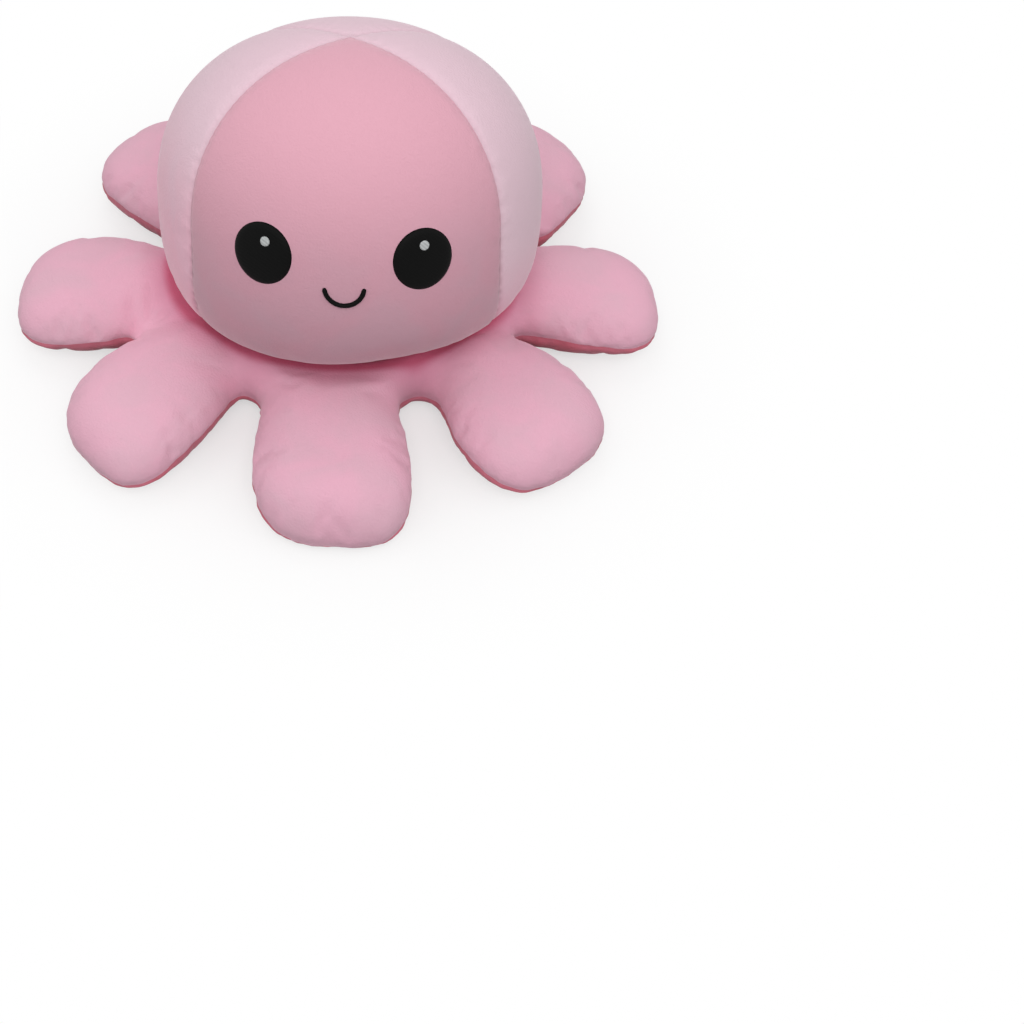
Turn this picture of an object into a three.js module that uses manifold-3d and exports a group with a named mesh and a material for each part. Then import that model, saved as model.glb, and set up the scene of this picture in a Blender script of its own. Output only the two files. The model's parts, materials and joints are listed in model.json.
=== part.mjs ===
// A reversible plush octopus with its light, happy side out, resting on its eight arms.
// Millimetres, +Z up. The face looks along -Y, and the origin is under the middle, on the table.
import * as THREE from 'three';
import { mergeVertices } from 'three/addons/utils/BufferGeometryUtils.js';
import Module from 'manifold-3d';

const wasm = await Module();
wasm.setup();

const degree = Math.PI / 180;

// Cloth, seams and clearances
const clothThickness = 2;
const seatGap = 0.3;
const neckClearance = 0.5;
const sewnEdgeThickness = 2;
const floorFlat = 0.5;
const embroideryThickness = 0.7;

// Skirt: the stuffed ring under the head, which carries the head and the arms
const neckBallRadius = 51.3;
const neckAngle = 39.85 * degree;
const mouthAngle = 58.6 * degree;
const skirtWidth = 11.2;
const notchReach = 12.5;

// Arms
const armThickness = 20;
const armSwell = 0.4;
const armLength = 49;
const armRootWidth = 37.5;
const armWidth = 45;
const tipDroop = 2;
const armDroop = 12 * degree;

// Head: a flattened ball whose crown leans back, and which bulges out over its neck
const cheekOverhang = 5.9;
const headHalfHeight = 49;
const crownLean = 20 * degree;
const headNod = 12 * degree;
const frontSeamAngle = 52 * degree;

// Pocket under the head, where the other head is tucked away
const pocketSwell = 3.5;
const pocketDepth = 54;

// Face
const eyeWidth = 16.5;
const eyeHeight = 18;
const glintWidth = 2.6;
const glintRise = 3.3;
const smileWidth = 11.2;
const smileDepth = 5.4;
const threadWidth = 1.5;
const smileDrop = 94.5 * degree;
const sulkyEyeWidth = 17.5;
const sulkyEyeHeight = 14.5;
const sulkySpread = 40 * degree;
const frownWidth = 12.4;
const frownRise = 4;
const sulkyFaceHeight = 33;
const frownFall = 8;

// The happy eyes, which were sewn on a little unevenly: how far each is from the middle of the face and
// down from the crown
const happyEyes = [
  { side: 'left', turn: -23.3 * degree, drop: 86.5 * degree },
  { side: 'right', turn: 22.8 * degree, drop: 87.6 * degree },
];

// The arms in order round the skirt, starting at the front. Soft arms never lie quite straight: each
// root sits a little to one side, and the arm strays from there.
const arms = [
  { name: 'front_arm', shift: -2.2, sway: -1 * degree },
  { name: 'front_right_arm', shift: 0, sway: 1 * degree },
  { name: 'right_arm', shift: -1.5, sway: -3 * degree },
  { name: 'back_right_arm', shift: -1, sway: -5 * degree },
  { name: 'back_arm', shift: 0, sway: 0 },
  { name: 'back_left_arm', shift: 1, sway: 5 * degree },
  { name: 'left_arm', shift: 0.5, sway: 1.5 * degree },
  { name: 'front_left_arm', shift: -2.2, sway: -7 * degree },
];

// Fullness of stuffed cloth, as the power of a superellipse: 2 is an ellipse, and more is boxier
const stuffedRoundness = 2.3;
const crownFullness = 2.25;
const cheekFullness = 2.8;

// How finely the cloth is divided
const armBodySteps = 3;
const armTipShares = [0.36, 0.64, 0.86, 1];
const armArcSteps = 6;
const rootShares = [-1, -0.86, -0.5, 0, 0.5, 0.86, 1];
const skirtShares = [0, 0.55, 1];
const headRows = 11;
const chinRows = 2;
const neckRows = 3;
const pocketRows = 6;
const outlineSteps = 20;
const wideGoreSteps = 6;
const narrowGoreSteps = 4;
const crownHoleAngle = 3 * degree;
const gorePastNeck = 1.4 * degree;
const leanFadeStart = 85 * degree;

// Sizes that follow from the ones above
const sector = (2 * Math.PI) / arms.length;
const socketRadius = neckBallRadius + neckClearance;
const neckRadius = socketRadius * Math.cos(neckAngle);
const mouthRadius = socketRadius * Math.cos(mouthAngle);
const hingeRadius = neckRadius + skirtWidth;
const seamHeight = armThickness / 2 - floorFlat;
const skirtTop = armThickness - floorFlat;
const headCentreHeight = skirtTop + socketRadius * Math.sin(neckAngle);
const notchRadius = neckRadius + notchReach;
const roundEndLength = armWidth / 2;
const bodyLength = armLength - roundEndLength;
const pocketMouth = mouthRadius - neckClearance - clothThickness;
const pocketBelly = pocketMouth + pocketSwell;
const pocketRim = heightOnNeckBall(pocketMouth);
const pocketMouthAngle = Math.acos(pocketMouth / pocketBelly);
const pocketHalfHeight = pocketDepth / (1 + Math.sin(pocketMouthAngle));
const pocketCentreHeight = pocketRim + pocketHalfHeight * Math.sin(pocketMouthAngle);
const cheekClearance = headCentreHeight - skirtTop - seatGap;
const headHalfWidth = neckBallRadius + cheekOverhang;
const goreEnd = creasePolar(Math.PI / 2) + gorePastNeck;

const headCentre = new THREE.Vector3(0, 0, headCentreHeight);
const pocketCentre = new THREE.Vector3(0, 0, pocketCentreHeight);

const finishes = {
  lightCloth: { color: 0xe3adc0, roughness: 0.95, metalness: 0 },
  paleCloth: { color: 0xdcc0cc, roughness: 0.95, metalness: 0 },
  darkCloth: { color: 0xd8707f, roughness: 0.95, metalness: 0 },
  filling: { color: 0xf2efe9, roughness: 1, metalness: 0 },
  blackThread: { color: 0x0b0b0a, roughness: 0.55, metalness: 0 },
  whiteThread: { color: 0xf4f2f0, roughness: 0.5, metalness: 0 },
};

// The height at which the ball under the head has this radius, on its lower side
function heightOnNeckBall(radius) {
  return headCentreHeight - Math.sqrt(neckBallRadius ** 2 - radius ** 2);
}

// The height at which the socket round that ball has this radius
function heightInSocket(radius) {
  return headCentreHeight - Math.sqrt(socketRadius ** 2 - radius ** 2);
}

function radiusInSocket(height) {
  return Math.sqrt(socketRadius ** 2 - (headCentreHeight - height) ** 2);
}

function smooth(share) {
  const held = THREE.MathUtils.clamp(share, 0, 1);
  return held * held * (3 - 2 * held);
}

// Evenly spaced values from one end to the other
function spread(from, to, steps) {
  return Array.from({ length: steps + 1 }, (_, step) => from + ((to - from) * step) / steps);
}

// How high a stuffed section stands at a distance from its middle line, as a share of its full height
function stuffedShare(distance, halfWidth) {
  const across = Math.min(Math.abs(distance) / halfWidth, 1);
  return (1 - across ** stuffedRoundness) ** (1 / stuffedRoundness);
}

// One closed body from a list of triangles, with shared corners merged and its faces pointing out
function closedBody(points, faces) {
  const raw = new THREE.BufferGeometry();
  raw.setAttribute('position', new THREE.Float32BufferAttribute(points.flatMap((p) => p.toArray()), 3));
  raw.setIndex(faces);
  const merged = mergeVertices(raw);
  const corners = merged.getAttribute('position');
  const corner = (index) => new THREE.Vector3().fromBufferAttribute(corners, index);
  const kept = [];
  let volume = 0;
  for (let start = 0; start < merged.index.count; start += 3) {
    const [a, b, c] = merged.index.array.slice(start, start + 3);
    if (a !== b && b !== c && c !== a) {
      kept.push([a, b, c]);
      volume += corner(a).dot(corner(b).cross(corner(c)));
    }
  }
  merged.setIndex(kept.flatMap(([a, b, c]) => (volume < 0 ? [a, c, b] : [a, b, c])));
  return merged;
}

// A closed body through rows of points. Each row goes once round the body, and may be one point repeated.
// The first and last rows are closed flat, or joined to each other where the body is a ring.
function loft(rows, isRing = false) {
  const width = rows[0].length;
  const at = (row, column) => (row % rows.length) * width + (column % width);
  const faces = [];
  const quad = (a, b, c, d) => faces.push(a, b, c, a, c, d);
  const bands = isRing ? rows.length : rows.length - 1;
  for (let row = 0; row < bands; row += 1) {
    for (let column = 0; column < width; column += 1) {
      quad(at(row, column), at(row, column + 1), at(row + 1, column + 1), at(row + 1, column));
    }
  }
  for (let rung = 0; !isRing && rung < width / 2 - 1; rung += 1) {
    const far = width - 1 - rung;
    quad(at(0, rung + 1), at(0, rung), at(0, far), at(0, far - 1));
    quad(at(bands, rung), at(bands, rung + 1), at(bands, far - 1), at(bands, far));
  }
  return closedBody(rows.flat(), faces);
}

function solidOf(geometry) {
  const bare = geometry.clone();
  bare.deleteAttribute('normal');
  bare.deleteAttribute('uv');
  const merged = mergeVertices(bare);
  const mesh = new wasm.Mesh({
    numProp: 3,
    vertProperties: Float32Array.from(merged.getAttribute('position').array),
    triVerts: Uint32Array.from(merged.index.array),
  });
  return new wasm.Manifold(mesh);
}

function geometryOf(solid) {
  const mesh = solid.getMesh();
  const geometry = new THREE.BufferGeometry();
  geometry.setAttribute('position', new THREE.Float32BufferAttribute(mesh.vertProperties, 3));
  geometry.setIndex(Array.from(mesh.triVerts));
  return geometry;
}

function addPiece(name, geometry, finish) {
  const mesh = new THREE.Mesh(geometry, new THREE.MeshStandardMaterial(finishes[finish]));
  mesh.name = name;
  octopus.add(mesh);
}

// How far down the head's crease against the skirt is on this side: there the ball under the head meets
// the top of the skirt when the head nods as far towards this side as it can.
function creasePolar(azimuth) {
  const levelShare = cheekClearance / neckBallRadius;
  const sideways = Math.abs(Math.cos(azimuth)) * Math.sin(headNod);
  const upright = Math.cos(headNod);
  const nodded = Math.atan2(sideways, upright) + Math.acos(levelShare / Math.hypot(sideways, upright));
  return Math.PI - Math.max(nodded, Math.acos(levelShare));
}

// A direction out of the head. The crown leans back, and the lean fades out down to the front's crease.
function headDirection(polar, azimuth) {
  const fade = smooth((polar - leanFadeStart) / (creasePolar(0) - leanFadeStart));
  const direction = new THREE.Vector3(
    Math.sin(polar) * Math.sin(azimuth),
    -Math.sin(polar) * Math.cos(azimuth),
    Math.cos(polar),
  );
  return direction.applyAxisAngle(new THREE.Vector3(1, 0, 0), -crownLean * (1 - fade));
}

// How far the light cloth stands from the head's centre: a leaning flattened ball with full cheeks. Low
// down it bulges over the skirt only as far as stays clear of it when the head nods, and ends as the
// neck ball.
function headReach(direction) {
  const crown = direction.y * Math.sin(crownLean) + direction.z * Math.cos(crownLean);
  const level = Math.sqrt(Math.max(1 - crown ** 2, 0));
  const fullness = crown > 0 ? crownFullness : cheekFullness;
  const ball = ((level / headHalfWidth) ** fullness + (Math.abs(crown) / headHalfHeight) ** fullness)
    ** (-1 / fullness);
  if (direction.z >= 0) {
    return ball;
  }
  const forward = Math.atan2(Math.abs(direction.y), -direction.z);
  const lowest = Math.hypot(direction.y, direction.z) * Math.cos(Math.max(forward - headNod, 0));
  return Math.min(ball, Math.max(neckBallRadius, cheekClearance / lowest));
}

function headPoint(polar, azimuth, depth = 0) {
  const direction = headDirection(polar, azimuth);
  return direction.clone().multiplyScalar(headReach(direction) - depth).add(headCentre);
}

// A point on the ball in the skirt, as far from the upright axis as asked
function neckBallPoint(radius, azimuth) {
  return new THREE.Vector3(
    radius * Math.sin(azimuth),
    -radius * Math.cos(azimuth),
    heightOnNeckBall(radius),
  );
}

// A point of the pocket's wall, some way behind the cloth that lines it
function pocketPoint(rise, azimuth, depth = 0) {
  const radius = (pocketBelly + depth) * Math.cos(rise);
  const height = pocketCentreHeight + (pocketHalfHeight + depth) * Math.sin(rise);
  return new THREE.Vector3(radius * Math.sin(azimuth), -radius * Math.cos(azimuth), height);
}

// The four panels of a head, between seams that run from the crown to the neck
const panels = [
  { side: 'front', from: -frontSeamAngle, to: frontSeamAngle, steps: wideGoreSteps },
  { side: 'right', from: frontSeamAngle, to: Math.PI - frontSeamAngle, steps: narrowGoreSteps },
  { side: 'back', from: Math.PI - frontSeamAngle, to: Math.PI + frontSeamAngle, steps: wideGoreSteps },
  { side: 'left', from: Math.PI + frontSeamAngle, to: 2 * Math.PI - frontSeamAngle, steps: narrowGoreSteps },
];

// Every column of a head that is whole all round, with the panels' own columns
const headColumns = panels.flatMap(({ from, to, steps }) => spread(from, to, steps).slice(0, -1));
const pocketRises = spread(-pocketMouthAngle, Math.PI / 2 - crownHoleAngle, pocketRows).slice(1);

// The rows of a head at one azimuth, from the crown to the crease and on to the end of the cloth
function headPolars(azimuth) {
  const crease = creasePolar(azimuth);
  return [
    ...spread(crownHoleAngle, crease, headRows),
    ...spread(crease, goreEnd, chinRows).slice(1),
  ];
}

function headRow(row, azimuth, depth) {
  return headPoint(headPolars(azimuth)[row], azimuth, depth);
}

// A panel's azimuths, drawn in from both of its seams by half the gap between two panels
function panelColumns(panel, radius) {
  const drawnIn = seatGap / 2 / radius;
  return spread(panel.from + drawnIn, panel.to - drawnIn, panel.steps);
}

function headPanel(panel) {
  const rows = headPolars(panel.from).map((seamPolar, row) => {
    const columns = panelColumns(panel, neckBallRadius * Math.sin(seamPolar));
    const place = (depth) => columns.map((azimuth) => headRow(row, azimuth, depth));
    return [...place(clothThickness), ...place(0).reverse()];
  });
  return loft(rows);
}

function pocketPanel(panel) {
  const rim = panelColumns(panel, pocketMouth);
  const rows = [[
    ...rim.map((azimuth) => neckBallPoint(pocketMouth, azimuth)),
    ...rim.map((azimuth) => neckBallPoint(pocketMouth + clothThickness, azimuth)).reverse(),
  ]];
  for (const rise of pocketRises) {
    const columns = panelColumns(panel, pocketBelly * Math.cos(rise));
    rows.push([
      ...columns.map((azimuth) => pocketPoint(rise, azimuth)),
      ...columns.map((azimuth) => pocketPoint(rise, azimuth, clothThickness)).reverse(),
    ]);
  }
  return loft(rows);
}

// The filling of the head: a thick cup with the pocket up its middle. It widens to the neck ball just
// under the edge of the light cloth, and ends at the pocket's rim.
function headFilling() {
  const behindCloth = clothThickness + seatGap;
  const ring = (place) => headColumns.map(place);
  const ledge = goreEnd + seatGap / neckBallRadius;
  const rimRadius = pocketMouth + behindCloth;
  const rimPolar = Math.PI - Math.asin(rimRadius / neckBallRadius);
  const rows = [ring(() => headPoint(0, 0, behindCloth))];
  for (let row = 0; row < headRows + chinRows; row += 1) {
    rows.push(ring((azimuth) => headRow(row, azimuth, behindCloth)));
  }
  rows.push(ring((azimuth) => headPoint(ledge, azimuth, behindCloth)));
  for (const polar of spread(ledge, rimPolar, neckRows)) {
    rows.push(ring((azimuth) => neckBallPoint(neckBallRadius * Math.sin(polar), azimuth)));
  }
  for (const rise of pocketRises) {
    rows.push(ring((azimuth) => pocketPoint(rise, azimuth, behindCloth)));
  }
  rows.push(ring(() => pocketPoint(Math.PI / 2, 0, behindCloth)));
  return loft(rows);
}

// The skirt at one place across an arm's root: how far out it goes, and how high its top and its
// underside are there. Between two roots it is only the sewn edge.
function skirtAt(across, edge) {
  const sewn = sewnEdgeThickness / 2;
  const stuffed = stuffedShare(across, armRootWidth / 2);
  const upper = Math.max((skirtTop - seamHeight) * stuffed, sewn);
  const lower = Math.max((seamHeight + floorFlat) * stuffed, sewn);
  return {
    radius: (share, inner) => THREE.MathUtils.lerp(inner, edge, share),
    top: (share) => THREE.MathUtils.lerp(skirtTop, seamHeight + upper, share ** 2),
    bottom: (share) => Math.max(THREE.MathUtils.lerp(-floorFlat, seamHeight - lower, share ** 2), 0),
  };
}

// A ring whose upright section changes with the azimuth, scalloped once for each arm
function skirtRing(section) {
  const rows = [];
  const addRow = (azimuth, across, edge) => rows.push(
    section(skirtAt(across, edge)).map(([radius, height]) => new THREE.Vector3(
      radius * Math.sin(azimuth),
      -radius * Math.cos(azimuth),
      height,
    )),
  );
  arms.forEach(({ shift }, arm) => {
    addRow((arm - 1 / 2) * sector, armRootWidth, notchRadius);
    for (const share of rootShares) {
      const across = (share * armRootWidth) / 2;
      const sideways = Math.atan((across + shift) / hingeRadius);
      addRow(arm * sector + sideways, across, (hingeRadius - seatGap / 2) / Math.cos(sideways));
    }
  });
  return loft(rows, true);
}

function skirtTopCloth() {
  const split = seamHeight + seatGap / 2;
  const innerEdge = skirtTop - clothThickness;
  return skirtRing((skirt) => {
    const outside = skirtShares.map((share) => [skirt.radius(share, neckRadius), skirt.top(share)]);
    const inside = skirtShares.map((share) => [
      skirt.radius(share, share > 0 ? neckRadius : radiusInSocket(innerEdge)),
      Math.max(skirt.top(share) - clothThickness, split),
    ]);
    return [...outside, ...inside.reverse()];
  });
}

function skirtUnderCloth() {
  const split = seamHeight - seatGap / 2;
  const lipRadius = mouthRadius + clothThickness;
  return skirtRing((skirt) => {
    const outside = skirtShares.map((share) => [skirt.radius(share, neckRadius), skirt.bottom(share)]);
    const inside = outside.map(([radius, height]) => [radius, Math.min(height + clothThickness, split)]);
    return [
      [mouthRadius, 0],
      ...outside,
      ...inside.reverse(),
      [lipRadius, clothThickness],
      [lipRadius, heightInSocket(lipRadius)],
      [mouthRadius, heightInSocket(mouthRadius)],
    ];
  });
}

// The skirt's filling is what lies both under the top cloth and over the under cloth, so it thins out
// to nothing at the sewn edges between the arms.
function skirtFilling() {
  const behindCloth = clothThickness + seatGap;
  const lipRadius = mouthRadius + behindCloth;
  const below = -skirtTop;
  const above = 2 * skirtTop;
  const highest = skirtTop - behindCloth;
  const middle = (highest + heightInSocket(lipRadius)) / 2;
  const reversedRing = (section) => skirtRing((skirt) => section(skirt).reverse());
  const underTop = reversedRing((skirt) => [
    [lipRadius, below],
    [lipRadius, heightInSocket(lipRadius)],
    [radiusInSocket(middle), middle],
    ...skirtShares.map((share) => [
      skirt.radius(share, share > 0 ? neckRadius : radiusInSocket(highest)),
      skirt.top(share) - behindCloth,
    ]),
    [skirt.radius(1, neckRadius), below],
  ]);
  const overUnder = reversedRing((skirt) => [
    [lipRadius, above],
    [lipRadius, behindCloth],
    ...skirtShares.map((share) => [skirt.radius(share, neckRadius), skirt.bottom(share) + behindCloth]),
    [skirt.radius(1, neckRadius), above],
  ]);
  return geometryOf(solidOf(underTop).intersect(solidOf(overUnder)));
}

// An arm's stations along its length. Each says how far out it is, how high the seam is, and the half
// width and half heights there, all drawn in by a depth for the layers inside.
function armStations(depth) {
  const upRoot = skirtTop - seamHeight;
  const station = (out, width, swell, endShare) => {
    const seam = seamHeight - tipDroop * (out / armLength) ** 2;
    return {
      out,
      seam,
      halfWidth: (width - depth) * endShare,
      up: (upRoot + swell - depth) * endShare,
      down: (seam + floorFlat - depth) * endShare,
    };
  };
  const body = spread(0, 1, armBodySteps).map((share) => station(
    bodyLength * share,
    THREE.MathUtils.lerp(armRootWidth, armWidth, Math.sin((share * Math.PI) / 2)) / 2,
    armSwell * smooth(share),
    1,
  ));
  const tip = armTipShares.map((share) => station(
    bodyLength + (roundEndLength - depth) * Math.sin((share * Math.PI) / 2),
    armWidth / 2,
    armSwell,
    share < 1 ? Math.cos((share * Math.PI) / 2) : 0,
  ));
  return [...body, ...tip];
}

// A point on an arm that lies along +X from the hinge, at an angle round its section. A margin keeps it
// above the seam, or below it where the margin is negative. The root is cut back below the hinge, which
// runs along its top edge, so that the arm can droop.
function armPoint(station, angle, arm, margin, isRoot) {
  const bend = 2 / stuffedRoundness;
  const side = Math.sign(Math.cos(angle)) * Math.abs(Math.cos(angle)) ** bend;
  const height = Math.abs(Math.sin(angle)) ** bend;
  const rise = Math.sin(angle) < 0 ? -station.down * height : station.up * height;
  const clear = margin < 0 ? Math.min(rise, margin) : Math.max(rise, margin || rise);
  const z = Math.max(station.seam + clear, 0);
  const out = isRoot ? seatGap / 2 + (skirtTop - z) * Math.tan(armDroop) : station.out;
  const middle = arm.shift + Math.tan(arm.sway) * out;
  return new THREE.Vector3(out, middle + station.halfWidth * side, z);
}

// Half of an arm's cloth: the light top above the seam, or the dark underside below it
function armCloth(arm, isUnder) {
  const first = isUnder ? 2 * Math.PI : Math.PI;
  const margin = (isUnder ? -seatGap : seatGap) / 2;
  const angles = spread(first, first - Math.PI, armArcSteps);
  const inner = armStations(clothThickness);
  const rows = armStations(0).map((station, row) => {
    const place = (from) => angles.map((angle) => armPoint(from, angle, arm, margin, row === 0));
    return [...place(station), ...place(inner[row]).reverse()];
  });
  return loft(rows);
}

function armFilling(arm) {
  const angles = spread(0, 2 * Math.PI, 2 * armArcSteps).slice(0, -1);
  const behindCloth = clothThickness + seatGap;
  const rows = armStations(behindCloth).map((station, row) => angles.map(
    (angle) => armPoint(station, angle, arm, 0, row === 0),
  ));
  return loft(rows);
}

// Turns a piece made along +X from the hinge into its place round the skirt
function placeArm(geometry, index) {
  return geometry.translate(hingeRadius, 0, 0).rotateZ(index * sector - Math.PI / 2);
}

// A block that stands out from a centre along a direction, with an outline drawn upright on its end
function faceBlock(shape, direction, centre, reach) {
  const block = new THREE.ExtrudeGeometry(shape, { depth: reach, bevelEnabled: false });
  const turn = new THREE.Matrix4();
  const right = new THREE.Vector3().crossVectors(new THREE.Vector3(0, 0, 1), direction).normalize();
  const up = new THREE.Vector3().crossVectors(direction, right);
  turn.makeBasis(right, up, direction);
  return block.applyMatrix4(turn).translate(centre.x, centre.y, centre.z);
}

// A body grown or shrunk about a centre, so that its surface moves about as far as asked
function layerOf(body, centre, radius, growth) {
  const grown = 1 + growth / radius;
  return solidOf(body.clone().translate(-centre.x, -centre.y, -centre.z)
    .scale(grown, grown, grown)
    .translate(centre.x, centre.y, centre.z));
}

// A patch of embroidery with this outline, lying on a body between two heights over its surface
function patch(shape, direction, surface, from, to) {
  const { body, centre, radius } = surface;
  const block = solidOf(faceBlock(shape, direction, centre, radius * 2));
  const near = layerOf(body, centre, radius, from);
  const far = layerOf(body, centre, radius, to);
  const isOutside = to > from;
  const layer = isOutside ? far.subtract(near) : near.subtract(far);
  return geometryOf(block.intersect(layer));
}

function shapeOf(points) {
  return new THREE.Shape(points.map(([x, y]) => new THREE.Vector2(x, y)));
}

function ovalShape(width, height, middle = [0, 0]) {
  const turns = spread(0, 2 * Math.PI, outlineSteps).slice(0, -1);
  return shapeOf(turns.map((turn) => [
    middle[0] + (width / 2) * Math.cos(turn),
    middle[1] + (height / 2) * Math.sin(turn),
  ]));
}

// A line of stitching along an arc that hangs down by its depth, or arches up where that is negative
function curvedStitchShape(width, depth) {
  const rise = Math.abs(depth);
  const halfTurn = 2 * Math.atan((2 * rise) / width);
  const radius = width / 2 / Math.sin(halfTurn);
  const arc = (reach) => spread(-halfTurn, halfTurn, outlineSteps / 2).map((turn) => [
    reach * Math.sin(turn),
    Math.sign(depth) * (radius - rise / 2 - reach * Math.cos(turn)),
  ]);
  return shapeOf([...arc(radius + threadWidth / 2), ...arc(radius - threadWidth / 2).reverse()]);
}

// A sulky eye: an oval cut off by a lid that slants down towards the middle of the face
function sulkyEyeShape(side) {
  const lidShares = [[-0.5, 0.3], [-0.46, 0.48], [0.44, 0.14], [0.5, 0]];
  const bowlShares = spread(0, -Math.PI, outlineSteps / 2).slice(1, -1)
    .map((turn) => [Math.cos(turn) / 2, Math.sin(turn) / 2]);
  const outlineShares = [...lidShares, ...bowlShares];
  return shapeOf(outlineShares.map(([x, y]) => [side * x * sulkyEyeWidth, y * sulkyEyeHeight]));
}

// The whole outside of the head and the whole inside of the pocket, for embroidery to lie on
function headSurface() {
  const ring = (place) => headColumns.map(place);
  const rows = [ring(() => headPoint(0, 0))];
  headPolars(0).forEach((polar, row) => rows.push(ring((azimuth) => headRow(row, azimuth))));
  return { body: loft(rows), centre: headCentre, radius: headHalfWidth };
}

function pocketSurface() {
  const ring = (place) => headColumns.map(place);
  const rows = [ring((azimuth) => neckBallPoint(pocketMouth, azimuth))];
  pocketRises.forEach((rise) => rows.push(ring((azimuth) => pocketPoint(rise, azimuth))));
  rows.push(ring(() => pocketPoint(Math.PI / 2, 0)));
  return { body: loft(rows), centre: pocketCentre, radius: pocketBelly };
}

function addSkirt() {
  addPiece('skirt_top', skirtTopCloth(), 'lightCloth');
  addPiece('skirt_underside', skirtUnderCloth(), 'darkCloth');
  addPiece('skirt_stuffing', skirtFilling(), 'filling');
}

function addArms() {
  arms.forEach((arm, index) => {
    addPiece(`${arm.name}_top`, placeArm(armCloth(arm, false), index), 'lightCloth');
    addPiece(`${arm.name}_underside`, placeArm(armCloth(arm, true), index), 'darkCloth');
    addPiece(`${arm.name}_stuffing`, placeArm(armFilling(arm), index), 'filling');
  });
}

function addHead() {
  for (const panel of panels) {
    const finish = panel.side === 'front' ? 'lightCloth' : 'paleCloth';
    addPiece(`head_${panel.side}_panel`, headPanel(panel), finish);
    addPiece(`pocket_${panel.side}_panel`, pocketPanel(panel), 'darkCloth');
  }
  addPiece('head_stuffing', headFilling(), 'filling');
}

function addHappyFace() {
  const surface = headSurface();
  const onCloth = [seatGap, seatGap + embroideryThickness];
  const onEye = onCloth.map((height) => height + seatGap + embroideryThickness);
  for (const { side, turn, drop } of happyEyes) {
    const direction = headDirection(drop, turn);
    const glint = ovalShape(glintWidth, glintWidth, [0, glintRise]);
    addPiece(`${side}_eye`, patch(ovalShape(eyeWidth, eyeHeight), direction, surface, ...onCloth), 'blackThread');
    addPiece(`${side}_eye_glint`, patch(glint, direction, surface, ...onEye), 'whiteThread');
  }
  const smile = curvedStitchShape(smileWidth, smileDepth);
  addPiece('smile', patch(smile, headDirection(smileDrop, 0), surface, ...onCloth), 'blackThread');
}

// The sulky face is on the pocket's front wall, so it is seen from inside, looking forward
function addSulkyFace() {
  const surface = pocketSurface();
  const onCloth = [-seatGap, -seatGap - embroideryThickness];
  const onEye = onCloth.map((depth) => depth - seatGap - embroideryThickness);
  const towards = (turn, height) => new THREE.Vector3(
    Math.sin(turn) * pocketBelly,
    -Math.cos(turn) * pocketBelly,
    height - pocketCentreHeight,
  ).normalize();
  for (const [side, turn] of [['left', sulkySpread], ['right', -sulkySpread]]) {
    const direction = towards(turn, sulkyFaceHeight);
    const glint = ovalShape(glintWidth, glintWidth);
    const eye = patch(sulkyEyeShape(-Math.sign(turn)), direction, surface, ...onCloth);
    addPiece(`sulky_${side}_eye`, eye, 'blackThread');
    addPiece(`sulky_${side}_eye_glint`, patch(glint, direction, surface, ...onEye), 'whiteThread');
  }
  const frown = curvedStitchShape(frownWidth, -frownRise);
  const direction = towards(0, sulkyFaceHeight - frownFall);
  addPiece('frown', patch(frown, direction, surface, ...onCloth), 'blackThread');
}

const octopus = new THREE.Group();
addSkirt();
addArms();
addHead();
addHappyFace();
addSulkyFace();

export default octopus;
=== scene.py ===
"""A reversible plush octopus with its light, happy side out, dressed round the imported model.

The skirt and the eight arms are one stuffed skin, blown up as cloth and then cut where the toy bends.
The head is four sewn panels that rest on the skirt, and the pocket under it is lined with dark cloth and
its other face. Everything is in metres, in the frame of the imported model. An azimuth is an angle round
the upright axis, from the front towards +X.
"""
import json
import logging
import math
from dataclasses import dataclass
from enum import Enum
from typing import Callable

import bmesh
import bpy
from mathutils import Euler, Matrix, Vector, noise
from mathutils.bvhtree import BVHTree


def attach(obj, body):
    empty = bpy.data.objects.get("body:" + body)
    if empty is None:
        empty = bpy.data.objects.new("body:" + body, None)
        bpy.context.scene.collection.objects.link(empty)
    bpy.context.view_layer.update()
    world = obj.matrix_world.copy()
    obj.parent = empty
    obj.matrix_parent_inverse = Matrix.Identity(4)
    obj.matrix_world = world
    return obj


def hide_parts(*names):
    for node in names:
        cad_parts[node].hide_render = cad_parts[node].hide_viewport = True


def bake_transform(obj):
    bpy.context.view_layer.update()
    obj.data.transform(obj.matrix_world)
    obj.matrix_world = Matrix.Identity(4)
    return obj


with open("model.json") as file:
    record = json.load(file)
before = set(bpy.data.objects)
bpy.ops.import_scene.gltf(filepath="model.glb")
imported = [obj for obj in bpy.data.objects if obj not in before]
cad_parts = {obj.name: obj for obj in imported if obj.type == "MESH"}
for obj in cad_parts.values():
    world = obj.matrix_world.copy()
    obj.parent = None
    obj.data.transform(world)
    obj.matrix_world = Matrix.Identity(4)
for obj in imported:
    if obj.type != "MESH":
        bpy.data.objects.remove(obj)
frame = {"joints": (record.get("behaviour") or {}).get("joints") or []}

LOG = logging.getLogger("octopus")
MILLIMETRE = 0.001
FULL_TURN = 2 * math.pi
JOINED = 0.01 * MILLIMETRE

Triple = tuple[float, float, float]
Skin = bmesh.types.BMesh
Corner = bmesh.types.BMVert
Piece = bpy.types.Object
Material = bpy.types.Material
Nodes = bpy.types.NodeTree
Socket = bpy.types.NodeSocket
Shade = Triple | Socket
Finish = tuple[Material, str]
Place = Callable[[float, float], Vector]
Outline = Callable[[float], tuple[float, float]]


class Cloth(Enum):
    """The sides of the stuffed skin, by the number that its faces carry."""

    TOP = 0
    UNDERSIDE = 1


class Panel(Enum):
    """The four panels of a head, by the number of the seam that each starts at."""

    FRONT = 0
    RIGHT = 1
    BACK = 2
    LEFT = 3


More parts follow.
